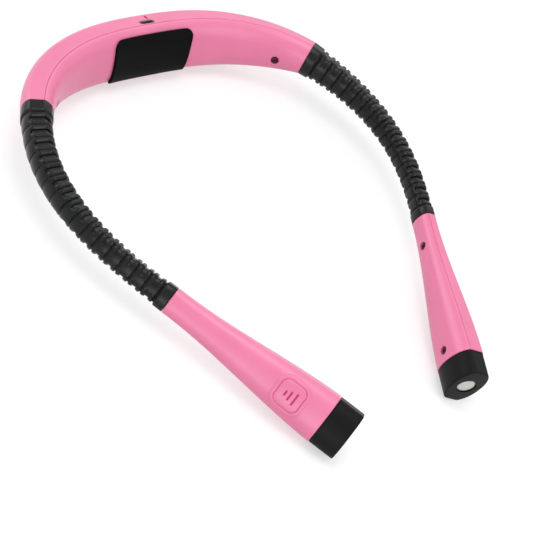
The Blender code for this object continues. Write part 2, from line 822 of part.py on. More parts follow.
def button_frame(side):
    """Centre of the section at the button, its press axis and the two axes of its face."""
    run = side * (HEAD_START + BUTTON_SHARE * HEAD_RUN)
    origin, out_axis, ahead, up_axis = section_frame(run)
    normal = out_axis * sin(BUTTON_ANGLE) + up_axis * cos(BUTTON_ANGLE)
    return origin, ahead, normal.cross(ahead), normal


def button_surface():
    """Distance from the head's axis to its skin under the button."""
    run = HEAD_START + BUTTON_SHARE * HEAD_RUN
    width, height, squareness = head_section(run)
    across = abs(sin(BUTTON_ANGLE) / (width / 2)) ** squareness
    along = abs(cos(BUTTON_ANGLE) / (height / 2)) ** squareness
    return (across + along) ** (-1 / squareness)


def button_prism(side, size, corner, low, high):
    origin, ahead, across, normal = button_frame(side)
    points = rounded_rectangle(size, size, corner)
    return prism(points, origin, ahead, across, normal, low, high)


def head_solid(side, inset, start_share=BUTTON_SOLID_SHARES[0], end_share=BUTTON_SOLID_SHARES[1]):
    """Solid stretch of the head, grown by a negative inset or shrunk by a positive one."""
    start = HEAD_START + start_share * HEAD_RUN
    end = HEAD_START + end_share * HEAD_RUN
    runs = [side * run for run in spread(start, end, HEAD_STEPS // 2)]
    return sweep(runs, lambda run: outline(*head_section(run, inset)))


def switch_levels():
    """Heights over the axis of the stem's end, the switch body's top and foot, and the board."""
    stem_end = button_surface() - SHELL_WALL - BUTTON_PLATE_THICKNESS
    plunger_top = stem_end - BUTTON_TRAVEL - CLEARANCE
    body_top = plunger_top - SWITCH_PLUNGER_HEIGHT
    body_foot = body_top - SWITCH_HEIGHT
    board_top = body_foot - CLEARANCE
    return stem_end, plunger_top, body_top, body_foot, board_top


def switch_post_place():
    """Distance of the posts from the middle of the button, just past its edge."""
    return BUTTON_SIZE / 2 + CLEARANCE + SWITCH_POST_RADIUS


def switch_board_length():
    return 2 * (switch_post_place() + SWITCH_POST_INSET)


def switch_post(side, along):
    """Post from the outer shell to the switch board."""
    origin, ahead, _, normal = button_frame(side)
    board_top = switch_levels()[-1]
    centre = origin + ahead * along
    foot = centre + normal * (board_top + CLEARANCE)
    root = centre + normal * (button_surface() - SHELL_WALL / 2)
    return rod(foot, root, SWITCH_POST_RADIUS)


def make_head_shells(name, side, pink):
    runs = [side * run for run in spread(HEAD_START + CLEARANCE, CAP_START, HEAD_STEPS)]
    outer_name = name + "_head_outer_shell"
    outer = as_object(outer_name, sweep(runs, shell_profile(outer_half, head_section)), pink)
    inner_name = name + "_head_inner_shell"
    inner = as_object(inner_name, sweep(runs, shell_profile(inner_half, head_section)), pink)
    ring = as_object("ring_shape", head_solid(side, -BUTTON_RING_RISE))
    cut_from(ring, head_solid(side, SHELL_WALL / 2, *BUTTON_CUT_SHARES))
    keep_inside(ring, button_prism(side, BUTTON_RING_SIZE, BUTTON_RING_CORNER_RADIUS, 0, CAP_WIDTH))
    join_on(outer, as_body(ring))
    cut_from(outer, button_prism(side, BUTTON_SIZE, BUTTON_CORNER_RADIUS, 0, CAP_WIDTH))
    post_place = switch_post_place()
    join_on(outer, switch_post(side, post_place), switch_post(side, -post_place))
    for share in (HEAD_REAR_SCREW_SHARE, HEAD_FRONT_SCREW_SHARE):
        add_screw_seats(outer, inner, side * (HEAD_START + share * HEAD_RUN), head_section)
    return [outer, inner]


def make_button(name, side, pink):
    origin, _, _, normal = button_frame(side)
    size = BUTTON_SIZE - 2 * CLEARANCE
    corner = BUTTON_CORNER_RADIUS - CLEARANCE
    button = as_object(name, head_solid(side, -BUTTON_RISE), pink)
    cut_from(button, head_solid(side, BUTTON_PLATE_THICKNESS, *BUTTON_CUT_SHARES))
    keep_inside(button, button_prism(side, size, corner, 0, CAP_WIDTH))
    stem_end = switch_levels()[0]
    root = origin + normal * (button_surface() - SHELL_WALL / 2)
    join_on(button, rod(origin + normal * stem_end, root, BUTTON_STEM_RADIUS))
    return button


def make_switch_parts(name, side, board_material, plastic):
    origin, ahead, across, normal = button_frame(side)
    _, plunger_top, body_top, body_foot, board_top = switch_levels()
    board_points = [
        (x * switch_board_length() / 2, y * SWITCH_BOARD_WIDTH / 2)
        for x, y in ((1, 1), (-1, 1), (-1, -1), (1, -1))
    ]
    frame = (origin, ahead, across, normal)
    board_body = prism(board_points, *frame, board_top - BOARD_THICKNESS, board_top)
    board = as_object(name + "_switch_board", board_body, board_material)
    size = SWITCH_SIZE
    square = rounded_rectangle(size, size, SHELL_WALL / 2, 2)
    switch = as_object(name + "_tact_switch", prism(square, *frame, body_foot, body_top), plastic)
    foot = origin + normal * (body_top - SWITCH_HEIGHT / 2)
    join_on(switch, rod(foot, origin + normal * plunger_top, SWITCH_PLUNGER_RADIUS))
    return [board, switch]


def lamp_levels():
    """Runs of the lens's front, its back, the reflector's back and the board's back."""
    lens_front = CAP_END - CAP_FACE_THICKNESS - CLEARANCE
    lens_back = lens_front - LENS_THICKNESS
    reflector_front = lens_back - CLEARANCE
    reflector_back = reflector_front - REFLECTOR_RUN
    board_front = reflector_back - CLEARANCE
    return lens_front, lens_back, reflector_front, reflector_back, board_front


def cap_profile(run):
    """The cap keeps the head's outline and its front edge is eased."""
    eased = max(abs(run) - (CAP_END - CAP_EDGE_BEVEL), 0)
    return outline(*head_section(CAP_START, eased))


def make_cap(name, side, plastic):
    start = CAP_START + CLEARANCE
    front = CAP_END - CAP_EDGE_BEVEL
    runs = [side * run for run in (start, mix(start, front, 0.5), front, CAP_END)]
    cap = as_object(name + "_bezel_cap", sweep(runs, cap_profile), plastic)
    spigot_inset = SHELL_WALL + CLEARANCE
    spigot_runs = [side * (CAP_START - CAP_SPIGOT_RUN), side * (start + HIDDEN_OVERLAP)]
    spigot_profile = outline(*head_section(CAP_START - CAP_SPIGOT_RUN, spigot_inset))
    join_on(cap, sweep(spigot_runs, lambda run: spigot_profile))
    bore_start = CAP_START - CAP_SPIGOT_RUN - CUT_OVERRUN
    bore_end = CAP_END - CAP_FACE_THICKNESS
    cutter = [
        (bore_start, 0),
        (bore_start, CAP_BORE_RADIUS),
        (bore_end, CAP_BORE_RADIUS),
        (bore_end, LENS_APERTURE_RADIUS),
        (CAP_END + CUT_OVERRUN, LENS_APERTURE_RADIUS),
        (CAP_END + CUT_OVERRUN, 0),
    ]
    cut_from(cap, turned(side, cutter))
    return cap


def make_lamp(name, side, clear, chrome, board_material):
    lens_front, lens_back, reflector_front, reflector_back, board_front = lamp_levels()
    crown_radius = LENS_APERTURE_RADIUS - CLEARANCE
    crown_top = CAP_END - LENS_INSET
    crown_foot = crown_top - LENS_CROWN / LENS_CROWN_SHARE
    lens_profile = [
        (lens_back, 0),
        (lens_back, LENS_RADIUS),
        (lens_front, LENS_RADIUS),
        (lens_front, crown_radius),
        (crown_foot, crown_radius),
        (crown_foot + LENS_CROWN, crown_radius * LENS_CROWN_SHARE),
        (crown_top, 0),
    ]
    lens = as_object(name + "_lens", turned(side, lens_profile), clear)
    rim = CAP_BORE_RADIUS - CLEARANCE
    reflector_waist = mix(reflector_front, reflector_back, 0.5)
    reflector_profile = [
        (reflector_front, rim),
        (reflector_front, rim - REFLECTOR_RIM),
        (reflector_waist, mix(rim, REFLECTOR_THROAT_RADIUS, REFLECTOR_CURVE_SHARE)),
        (reflector_back, REFLECTOR_THROAT_RADIUS),
        (reflector_back, rim),
    ]
    reflector = as_object(name + "_reflector", turned(side, reflector_profile), chrome)
    board_profile = [
        (board_front - LED_BOARD_THICKNESS, 0),
        (board_front - LED_BOARD_THICKNESS, rim),
        (board_front, rim),
        (board_front, LED_DOME_RADIUS),
        (board_front + LED_DOME_RADIUS * cos(pi / 4), LED_DOME_RADIUS * sin(pi / 4)),
        (board_front + LED_DOME_RADIUS, 0),
    ]
    board = as_object(name + "_led_board", turned(side, board_profile), board_material)
    return [lens, reflector, board]


def joint_empty(name, place, parent=None):
    """Empty on a joint's axis, which carries the pieces that turn or slide with it."""
    empty = bpy.data.objects.new(name, None)
    bpy.context.scene.collection.objects.link(empty)
    empty.location = place
    if parent:
        empty.parent = parent
        empty.matrix_parent_inverse = Matrix.Translation(parent_place(parent)).inverted()
    return empty


def parent_place(empty):
    place = empty.location.copy()
    if empty.parent:
        place = empty.matrix_parent_inverse @ place + parent_place(empty.parent)
    return place


def attach(items, empty):
    inverse = Matrix.Translation(parent_place(empty)).inverted()
    for item in items:
        item.parent = empty
        item.matrix_parent_inverse = inverse


def make_arm_and_head(name, side, materials):
    pink = materials["pink"]
    rubber = materials["rubber"]
    steel = materials["steel"]
    sleeve = make_sleeve(name + "_arm_sleeve", side, rubber)
    core = make_core(name + "_gooseneck_core", side, steel)
    lead = make_lead(name + "_lamp_lead", side, materials["lead"])
    band_clamp_end = BAND_HALF_RUN - CLAMP_SETBACK
    band_clamp_start = band_clamp_end - CLAMP_RUN + CLAMP_SETBACK
    make_clamp(
        name + "_band_clamp", side * band_clamp_start, side * band_clamp_end, band_section,
        materials["clamp"],
    )
    head_clamp_start = HEAD_START + CLAMP_SETBACK
    head_clamp_end = head_clamp_start + CLAMP_RUN - CLAMP_SETBACK
    head_items = [
        make_clamp(
            name + "_head_clamp", side * head_clamp_start, side * head_clamp_end, head_section,
            materials["clamp"],
        )
    ]
    head_items += make_head_shells(name, side, pink)
    head_items += make_switch_parts(name, side, materials["board"], materials["plastic"])
    head_items.append(make_cap(name, side, materials["plastic"]))
    head_items += make_lamp(name, side, materials["clear"], materials["chrome"], materials["board"])
    for label, share in (("rear", HEAD_REAR_SCREW_SHARE), ("front", HEAD_FRONT_SCREW_SHARE)):
        run = side * (HEAD_START + share * HEAD_RUN)
        head_items.append(make_screw(name + "_head_screw_" + label, run, head_section, steel))
    make_screw(name + "_band_screw", side * BAND_SCREW_RUN, band_section, steel)
    button = make_button(name + "_button", side, pink)
    arm_joint = joint_empty(name + "_arm_joint", point_at(side * (BAND_HALF_RUN + ARM_PIVOT_RUN), 0, 0))
    head_place = point_at(side * (HEAD_START - HEAD_PIVOT_RUN), 0, 0)
    head_joint = joint_empty(name + "_head_joint", head_place, arm_joint)
    origin, _, _, normal = button_frame(side)
    button_joint = joint_empty(name + "_button_joint", origin + normal * button_surface(), head_joint)
    attach([sleeve, core, lead], arm_joint)
    attach(head_items, head_joint)
    attach([button], button_joint)


def rest_on_origin():
    """Move everything so that the middle of the bounding box's foot is the origin."""
    bpy.context.view_layer.update()
    places = []
    for item in bpy.data.objects:
        if item.type == "MESH":
            places += [item.matrix_world @ vertex.co for vertex in item.data.vertices]
    low = [min(place[axis] for place in places) for axis in range(3)]
    high = [max(place[axis] for place in places) for axis in range(3)]
    shift = -Vector(((low[0] + high[0]) / 2, (low[1] + high[1]) / 2, low[2]))
    for item in bpy.data.objects:
        if not item.parent:
            item.location += shift


def main():
    clear_scene()
    materials = {
        "pink": make_material("pink_plastic", PINK, 0.42),
        "rubber": make_material("black_rubber", BLACK_RUBBER, 0.55),
        "plastic": make_material("black_plastic", BLACK_PLASTIC, 0.45),
        "pad": make_material("black_pad", BLACK_PAD, 0.8),
        "steel": make_material("steel", STEEL, 0.3, metallic=1),
        "board": make_material("circuit_board", BOARD_GREEN, 0.5),
        "foil": make_material("cell_foil", CELL_FOIL, 0.4, metallic=0.6),
        "clear": make_material("clear_lens", LENS_CLEAR, 0.15, transmission=0.5),
        "chrome": make_material("reflector_chrome", REFLECTOR_CHROME, 0.12, metallic=1),
        "clamp": make_material("clamp_nylon", CLAMP_GREY, 0.5),
        "lead": make_material("lead_sheath", LEAD_RED, 0.5),
    }
    make_neck_shells(materials["pink"])
    make_pad(materials["pad"])
    make_charging_parts(materials["steel"], materials["board"], materials["foil"], materials["clear"])
    for name, side in SIDES.items():
        make_arm_and_head(name, side, materials)
    rest_on_origin()


main()
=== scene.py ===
"""Looks of the neck reading light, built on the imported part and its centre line.

Runs, sections and their out and up axes are those of the part's own source.
"""

from functools import cache, partial
from math import asin, atan2, cos, hypot, pi, radians, sin, sqrt

import bmesh
import bpy
from mathutils import Matrix, Vector


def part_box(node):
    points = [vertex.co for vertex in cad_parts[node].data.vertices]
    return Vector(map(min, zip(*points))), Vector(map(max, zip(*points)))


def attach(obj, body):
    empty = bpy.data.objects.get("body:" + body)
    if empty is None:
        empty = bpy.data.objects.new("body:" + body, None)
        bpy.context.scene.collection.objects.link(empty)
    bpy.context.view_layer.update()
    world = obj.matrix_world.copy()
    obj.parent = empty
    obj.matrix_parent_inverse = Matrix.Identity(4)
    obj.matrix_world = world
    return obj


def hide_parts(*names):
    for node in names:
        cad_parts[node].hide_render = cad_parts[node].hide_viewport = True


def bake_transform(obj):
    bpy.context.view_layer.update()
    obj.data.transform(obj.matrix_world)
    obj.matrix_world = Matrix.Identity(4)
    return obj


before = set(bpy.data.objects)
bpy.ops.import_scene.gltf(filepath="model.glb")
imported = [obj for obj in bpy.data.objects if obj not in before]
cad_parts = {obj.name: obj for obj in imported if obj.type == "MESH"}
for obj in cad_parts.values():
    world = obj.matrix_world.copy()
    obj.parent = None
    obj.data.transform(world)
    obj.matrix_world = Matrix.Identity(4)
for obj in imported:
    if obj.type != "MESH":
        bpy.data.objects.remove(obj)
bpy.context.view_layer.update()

# Fits and overruns
CLEARANCE = 0.0003
CUT_OVERRUN = 0.004
TOUCH_GAP = 0.00005
SLIVER = 0.00003

# Centre line
BAND_HALF_RUN = 0.1000
BAND_TURN = radians(57.4)
BAND_TURN_POWER = 1.56
BAND_DROOP = 0.0079
BAND_TAPER_POWER = 2.25
ARM_TURN = radians(58.3)
LEFT_EARLY_TURN_SHARE = 0.71
RIGHT_EARLY_TURN_SHARE = 0.36
HEAD_RUN = 0.0892
CAP_RUN = 0.0136
BAND_LEAN = radians(15)
LEFT_TIP_LEAN = radians(-36)
RIGHT_TIP_LEAN = radians(12)
PATH_STEPS = 240

# Sections, as full width, full height and squareness
BAND_MIDDLE = (0.0206, 0.0312, 3.0)
BAND_END = (0.0162, 0.0196, 2.2)
ARM_FRONT = (0.0096, 0.0144, 2.2)
CAP = (0.0178, 0.0268, 2.2)
HEAD_SAG = 0.0009
FACET_SHARE = 0.42
SHELL_WALL = 0.0016
SEAM_GAP = 0.0001
SEAM_LIP = 0.0003
CREASE = 0.0006
END_ROUNDING = 0.0003
END_STEPS = [END_ROUNDING * share for share in (0, 0.05, 0.15, 0.3, 0.6)]

# How finely shapes are drawn
SIDE_STEPS = 30
SOLID_SIDE_STEPS = 6
HEAD_SIDE_STEPS = 90
RUN_STEP = 0.0015
FINE_RUN_STEP = 0.0003
ROD_STEP = 0.0020
CORD_SIDES = 16
ROD_SIDES = 40
CORNER_STEPS = 8
ROOM_STEPS = 6
SHARP_ANGLE = radians(40)
BENT_SHARP_ANGLE = radians(50)

# Ribbed sleeve
RIB_UNITS = 15
RIB_PITCH = 0.0073
REAR_COLLAR_RUN = 0.0066
FRONT_COLLAR_RUN = 0.0060
RIB_INSET = 0.00035
RIB_CROWN = 0.0003
GROOVE_DEPTH = 0.0012
GROOVE_HALF_WIDTH = 0.0009
GROOVE_POWER = 1.5
POCKET_DEPTH = 0.0014
POCKET_HALF_WIDTH = 0.0012
POCKET_WALL = 0.0003
POCKET_REACH = {-1: (0.0014, 0.0060), 1: (0.0068, 0.0036)}
POCKET_END = 0.0004
COLLAR_ROUNDING = 0.0002
COLLAR_STEPS = 4
COLLAR_UNIT_STEPS = 6
HALF_UNIT_STEPS = (
    0, 0.0002, 0.0004, 0.00055, 0.0007, 0.0009, 0.0012, 0.0016,
    0.0020, 0.0023, 0.00245, 0.0026, 0.00275, 0.0029, 0.0032,
)
SLEEVE_WAIST = 0.0028
SLEEVE_SIDE_STEPS = 34
SLEEVE_FACET_STEPS = 10
MEETING_UNIT = 7
SLEEVE_BORE_WIDTH = 0.0044
SLEEVE_BORE_HEIGHT = 0.0072

# Gooseneck core and lead
CORE_RADIUS = 0.0016
CLAMP_RUN = 0.0120
LEAD_RADIUS = 0.0005
LEAD_ARM_UP = 0.0026
LEAD_HEAD_UP = 0.0032
LEAD_EASE_RUN = 0.0140
LEAD_LAP = 0.0040

# Neck pad
PAD_HALF_RUN = 0.0262
PAD_THICKNESS = 0.0012
PAD_EDGE_THICKNESS_SHARE = 0.25
PAD_TOP_SHARE = 0.76
PAD_BOTTOM_SHARE = 0.80
PAD_CORNER_RADIUS = 0.0050
PAD_CORNER_STEPS = 24
PAD_ROUNDING = 0.0007
PAD_EDGE_SHARES = [0, 0.003, 0.008, 0.016, 0.026]
PAD_SIDE_START = 0.04
PAD_SIDE_STEPS = 48

# Charging port, boards and indicator
PORT_WIDTH = 0.0093
PORT_HEIGHT = 0.0035
PORT_OUT = 0.0024 - FACET_SHARE * BAND_MIDDLE[0] / 2
INDICATOR_RUN = 0.0024
INDICATOR_OUT = 0.0022
INDICATOR_LENGTH = 0.0032
INDICATOR_WIDTH = 0.0012
MOUTH_FLARE = 0.0003
BOARD_THICKNESS = 0.0010
BOARD_FACE = PORT_OUT + PORT_HEIGHT / 2
CHARGE_BOARD_LENGTH = 0.0300
CELL_LENGTH = 0.0400
CELL_HEIGHT = 0.0170
CELL_THICKNESS = 0.0054
CRADLE_RIB_SPACING = 0.0240
CRADLE_RIB_WIDTH = 0.0014

# Screws
BAND_SCREW_DROP_SHARE = 0.36
HEAD_SCREW_DROP_SHARE = 0.08
SCREW_RECESS_RADIUS = 0.0022
SCREW_RECESS_DEPTH = 0.0024
SCREW_CUP_WALL = 0.0008
SCREW_FLOOR = 0.0010
SCREW_HEAD_RADIUS = 0.0018
SCREW_HEAD_HEIGHT = 0.0013
SCREW_DOME = ((0, 0.55), (0.0001, 0.8), (0.0004, 1))
SCREW_SHANK_RADIUS = 0.0008
SCREW_SHANK_LENGTH = 0.0060
SCREW_TIP_SHARE = 0.3
SCREW_POST_RADIUS = 0.0022
SCREW_CROSS_LENGTH = 0.0020
SCREW_CROSS_WIDTH = 0.0005
SCREW_CROSS_DEPTH = 0.0007
BAND_SCREW_MARGIN = 0.0045
HEAD_SCREW_SHARES = {"rear": 0.20, "front": 0.93}

# Push button on each head
BUTTON_SHARE = 0.785
BUTTON_SIZE = 0.0131
BUTTON_CORNER_RADIUS = 0.0036
BUTTON_RING_SIZE = 0.0170
BUTTON_RING_CORNER_RADIUS = 0.0056
BUTTON_RING_RISE = 0.0005
RING_SLOPE = 0.00040
RING_LIP = 0.0005
BUTTON_RISE = 0.0006
BUTTON_TRAVEL = 0.0005
BUTTON_PLATE_THICKNESS = 0.0022
BUTTON_STEM_RADIUS = 0.0014
BUTTON_GAP = 0.00004
BUTTON_ROUNDING = 0.0006
BUTTON_ROUNDING_STEPS = 5
PATCH_RING_SHARES = (0.96, 0.85, 0.7, 0.55, 0.4, 0.3)
LEAST_CORNER_SHARE = 1 / 9
MOST_CORNER_SHARE = 0.9
BAR_LENGTHS = (0.0027, 0.0048, 0.0063)
BAR_PLACES = (-0.0024, 0, 0.0028)
BAR_WIDTH = 0.0010
BAR_SINK = 0.0002
BAR_THICKNESS = 0.0002
SWITCH_HEIGHT = 0.0026
SWITCH_PLUNGER_HEIGHT = 0.0007
SWITCH_POST_RADIUS = 0.0011
SWITCH_POST_INSET = 0.0016
SWITCH_POST_ALONG = BUTTON_SIZE / 2 + CLEARANCE + SWITCH_POST_RADIUS

# Lamp
CAP_SPIGOT_RUN = 0.0024
CAP_FACE_THICKNESS = 0.0016
CAP_BORE_RADIUS = 0.0064
CAP_EDGE_BEVEL = 0.0007
CAP_EDGE_STEPS = 6
CAP_INSET = 0.00020
CAP_SIDES = 144
LENS_APERTURE_RADIUS = 0.0049
LENS_RADIUS = 0.0061
LENS_THICKNESS = 0.0014
LENS_CROWN = 0.0005
LENS_CROWN_SHARE = 0.75
LENS_CROWN_STEPS = 10
LENS_INSET = 0.0002
REFLECTOR_RUN = 0.0056
REFLECTOR_RIM = 0.0007
REFLECTOR_THROAT_RADIUS = 0.0021
REFLECTOR_POWER = 1.5
REFLECTOR_STEPS = 12
LED_BOARD_THICKNESS = 0.0014
LED_DOME_RADIUS = 0.0015
LED_DOME_STEPS = 8
LAMP_SIDES = 72

# Bending zones, as runs from the ends of the arm
ARM_PIVOT_RUN = 0.0160
HEAD_PIVOT_RUN = 0.0150
BEND_HALF_RUN = 0.0130

# Places along the whole light, as runs from the middle of the band
ARM_RUN = REAR_COLLAR_RUN + RIB_UNITS * RIB_PITCH + FRONT_COLLAR_RUN
HEAD_START = BAND_HALF_RUN + ARM_RUN
CAP_START = HEAD_START + HEAD_RUN
CAP_END = CAP_START + CAP_RUN
BUTTON_RUN = HEAD_START + BUTTON_SHARE * HEAD_RUN
BAND_SCREW_RUN = BAND_HALF_RUN - CLAMP_RUN - BAND_SCREW_MARGIN
MEETING_RUN = BAND_HALF_RUN + REAR_COLLAR_RUN + MEETING_UNIT * RIB_PITCH
SIDES = {"left": -1, "right": 1}

# Surfaces
CLOUD_SCALE = 60
CLOUD_DETAIL = 4
CLOUD_STOPS = (0.3, 0.7)
GRAIN_DETAIL = 3
GRAIN_HEIGHT = 0.0002
GLOSS_SPREAD = 0.12

# Colour as on a screen, roughness and what else differs, for each finish
FINISHES = {
    "pink_plastic": ((231, 118, 160), 0.36, {"bump": 0.08, "specular": 0.8}),
    # Deep pink of the button's bars: partly the button's own mark, partly painted shade of the slot
    # floors they sit in.
    "button_mark": ((206, 52, 112), 0.5, {"specular": 0.2}),
    "black_rubber": ((11, 12, 14), 0.28, {"bump": 0.10, "specular": 0.26}),
    "black_plastic": ((16, 16, 17), 0.42, {"bump": 0.08, "specular": 0.12}),
    "black_pad": ((10, 11, 12), 0.5, {"grain": 1400, "bump": 0.15, "specular": 0.05}),
    "steel": ((170, 168, 166), 0.32, {"grain": 2400, "Metallic": 1}),
    # Screws in dark magenta: painted shade of the pink recesses they sit in.
    "screw_recess_shade": ((74, 34, 50), 0.4, {"Metallic": 0.6}),
    # Steel of the charging socket, in a tone of its own so that its tongue in the slot's shade
    # shows lighter: painted light.
    "socket_steel_painted_light": ((142, 140, 137), 0.4, {"Metallic": 0.8}),
    "light_pipe": ((196, 20, 96), 0.25, {"specular": 0.2}),
    "circuit_board": ((30, 92, 52), 0.5, {"tint": 0.15}),
    "cell_foil": ((196, 198, 202), 0.4, {"Metallic": 0.7}),
    "clear_lens": ((222, 219, 212), 0.3, {"tint": 0.02, "Transmission_Weight": 0.2}),
    "reflector_chrome": ((220, 220, 218), 0.15, {"bump": 0.02, "Metallic": 1}),
    "clamp_nylon": ((112, 112, 114), 0.5, {}),
    "lead_sheath": ((150, 36, 34), 0.45, {}),
}

# Camera, in the part's frame, floor and light
CAMERA_PLACE = (-0.51232, -0.32781, 0.55761)
CAMERA_RIGHT = (0.74836, -0.54336, 0.38042)
CAMERA_UP = (0.22969, 0.75033, 0.61987)
CAMERA_FOCAL_SHARE = 3.05863
SENSOR_WIDTH = 36
FLOOR_HALF_SIZE = 3
FLOOR_ROUGHNESS = 0.9
FLOOR_GLOW = 0.48
FLOOR_TONE = 0.60
WORLD_LEVEL = 0.74


def clamp(share):
    return min(max(share, 0), 1)


def smooth(share):
    share = clamp(share)
    return share * share * (3 - 2 * share)


def quarter_round(share):
    """Height of a quarter round of one, at a share of the way in from its edge."""
    return sqrt(1 - (1 - clamp(share)) ** 2)


def mix(first, second, share):
    return first + (second - first) * share


def spread(start, end, steps):
    return [mix(start, end, step / steps) for step in range(steps + 1)]


def stepped(start, end, step):
    return spread(start, end, max(round(abs(end - start) / step), 1))


def heading(run):
    """Angle turned from straight across the neck towards straight ahead."""
    distance = abs(run)
    turned_so_far = BAND_TURN * min(distance / BAND_HALF_RUN, 1) ** BAND_TURN_POWER
    share = clamp((distance - BAND_HALF_RUN) / ARM_RUN)
    early_share = RIGHT_EARLY_TURN_SHARE if run > 0 else LEFT_EARLY_TURN_SHARE
    eased = mix(smooth(share), share * (2 - share), early_share)
    return turned_so_far + ARM_TURN * eased


def superellipse_height(share, squareness):
    return (1 - share ** squareness) ** (1 / squareness)


def section_point(width, height, squareness, angle):
    """Point of a section at an angle turned from its top towards its outer side."""
    out = width / 2 * abs(sin(angle)) ** (2 / squareness)
    up = height / 2 * abs(cos(angle)) ** (2 / squareness)
    return out, up if cos(angle) > 0 else -up


def side_points(width, height, squareness, steps=SIDE_STEPS):
    """Outer side of a section, from the top facet's corner down to the bottom one."""
    start = asin(FACET_SHARE ** (squareness / 2))
    angles = spread(start, pi - start, steps)
    return [section_point(width, height, squareness, angle) for angle in angles]


def section_lean(run):
    tip = RIGHT_TIP_LEAN if run > 0 else LEFT_TIP_LEAN
    return mix(BAND_LEAN, tip, smooth((abs(run) - BAND_HALF_RUN) / ARM_RUN))


def lowest_point(width, height, squareness, lean):
    """How far a leaned section reaches below its centre, on the steps of the solid part."""
    outer = side_points(width, height, squareness, SOLID_SIDE_STEPS)
    return max(-up * cos(lean) + abs(out * sin(lean)) for out, up in outer)


@cache
def plan_position(run):
    """Place on the centre line, seen from above, by summing short straight steps."""
    side = -1 if run < 0 else 1
    distance = abs(run)
    across = 0
    back = 0
    stops = [0, min(distance, BAND_HALF_RUN), min(distance, HEAD_START), distance]
    for start, end in zip(stops, stops[1:]):
        step = (end - start) / PATH_STEPS
        for index in range(PATH_STEPS):
            angle = heading(side * (start + (index + 0.5) * step))
            across += side * cos(angle) * step
            back -= sin(angle) * step
    return across, back


def band_taper(run):
    return min(run / BAND_HALF_RUN, 1) ** BAND_TAPER_POWER


@cache
def arm_fall(run):
    return centre_height(BAND_HALF_RUN) - lowest_point(*CAP, section_lean(run))


@cache
def centre_height(run):
    distance = abs(run)
    height = lowest_point(*BAND_MIDDLE, BAND_LEAN) + BAND_DROOP * band_taper(distance)
    if distance > BAND_HALF_RUN:
        share = (distance - BAND_HALF_RUN) / (CAP_END - BAND_HALF_RUN)
        height -= arm_fall(CAP_END if run > 0 else -CAP_END) * share
    return height


def line_frame(run):
    """Origin, out, ahead and up axes of the section at a run, before the part's move."""
    side = -1 if run < 0 else 1
    distance = abs(run)
    across, back = plan_position(run)
    origin = Vector((across, back, centre_height(run)))
    angle = heading(run)
    fall = atan2(arm_fall(side * CAP_END), CAP_END - BAND_HALF_RUN)
    fall *= smooth((distance - BAND_HALF_RUN) / REAR_COLLAR_RUN)
    ahead = Vector((side * cos(angle) * cos(fall), -sin(angle) * cos(fall), -sin(fall)))
    out = Vector((side * sin(angle), cos(angle), 0))
    up = side * ahead.cross(out)
    lean = section_lean(run)
    return origin, out * cos(lean) - up * sin(lean), ahead, up * cos(lean) + out * sin(lean)


@cache
def part_shift():
    """Move from the line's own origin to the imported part's, read off the charge board."""
    low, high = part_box("charge_board")
    origin, out_axis, _, _ = line_frame(0)
    return (low + high) / 2 - origin - out_axis * (BOARD_FACE + BOARD_THICKNESS / 2)


@cache
def section_frame(run):
    origin, out_axis, ahead, up_axis = line_frame(run)
    return origin + part_shift(), out_axis, ahead, up_axis


def point_at(run, out, up):
    origin, out_axis, _, up_axis = section_frame(run)
    return origin + out_axis * out + up_axis * up


def section_between(first, second, share, waist=0, inset=0):
    """Section between two others, less a waist in its height and an inset on every side."""
    width, height, squareness = [mix(*pair, share) for pair in zip(first, second)]
    return width - 2 * inset, height - waist - 2 * inset, squareness


def sleeve_section(run):
    share = (abs(run) - BAND_HALF_RUN) / ARM_RUN
    return section_between(BAND_END, ARM_FRONT, share, SLEEVE_WAIST * 4 * share * (1 - share))


def shell_section(run, inset=0):
    """Section of the band, or of a lamp head beyond it, less an inset on every side."""
    distance = abs(run)
    if distance <= BAND_HALF_RUN:
        return section_between(BAND_MIDDLE, BAND_END, band_taper(distance), 0, inset)
    share = clamp((distance - HEAD_START) / HEAD_RUN)
    sag = HEAD_SAG * 4 * share * (1 - share)
    return section_between(ARM_FRONT, CAP, smooth(share), sag, inset)


def skin_section(run):
    """Section of a shell, drawn in towards the shell's ends as a quarter round."""
    distance = abs(run)
    if distance <= BAND_HALF_RUN:
        to_end = BAND_HALF_RUN - distance
    else:
        to_end = min(distance - HEAD_START - CLEARANCE, CAP_START - distance)
    return shell_section(run, END_ROUNDING * (1 - quarter_round(to_end / END_ROUNDING)))


def eased_side(points):
    """Side points with both facet corners rounded, and a point held back on each facet."""
    ends = []
    for corner, after in ((points[0], points[1]), (points[-1], points[-2])):
        start = corner[0] - CREASE
        middle = ((start + 2 * corner[0] + after[0]) / 4, (3 * corner[1] + after[1]) / 4)
        ends.append([(start - CREASE, corner[1]), (start, corner[1]), middle])
    return ends[0] + points[1:-1] + ends[1][::-1]


def normals_of(points, closed):
    """Unit normals of a line of points, on the side away from the section's middle."""
    first, last = (points[-1], points[0]) if closed else (points[0], points[-1])
    line = [first, *points, last]
    found = []
    for before, point, after in zip(line, points, line[2:]):
        x = after[1] - before[1]
        y = before[0] - after[0]
        length = hypot(x, y)
        sign = 1 if x * point[0] + y * point[1] > 0 else -1
        found.append((sign * x / length, sign * y / length))
    return found


def bridge(body, first, second):
    """Faces between two rings, one of which may be a single point."""
    count = max(len(first), len(second))
    for index in range(count):
        after = (index + 1) % count
        corners = [first[index % len(first)], first[after % len(first)]]
        corners += [second[after % len(second)], second[index % len(second)]]
        body.faces.new(list(dict.fromkeys(corners)))


def loft(loops, closed=False):
    """Body through loops of points, with a flat face on each end or closed on itself."""
    body = bmesh.new()
    rings = [[body.verts.new(point) for point in loop] for loop in loops]
    for first, second in zip(rings, rings[1:]):
        bridge(body, first, second)
    if closed:
        bridge(body, rings[-1], rings[0])
    elif len(rings[0]) > 1:
        body.faces.new(rings[0])
        body.faces.new(rings[-1])
    bmesh.ops.recalc_face_normals(body, faces=body.faces)
    return body


def sweep(runs, profile):
    return loft([[point_at(run, out, up) for out, up in profile(run)] for run in runs])


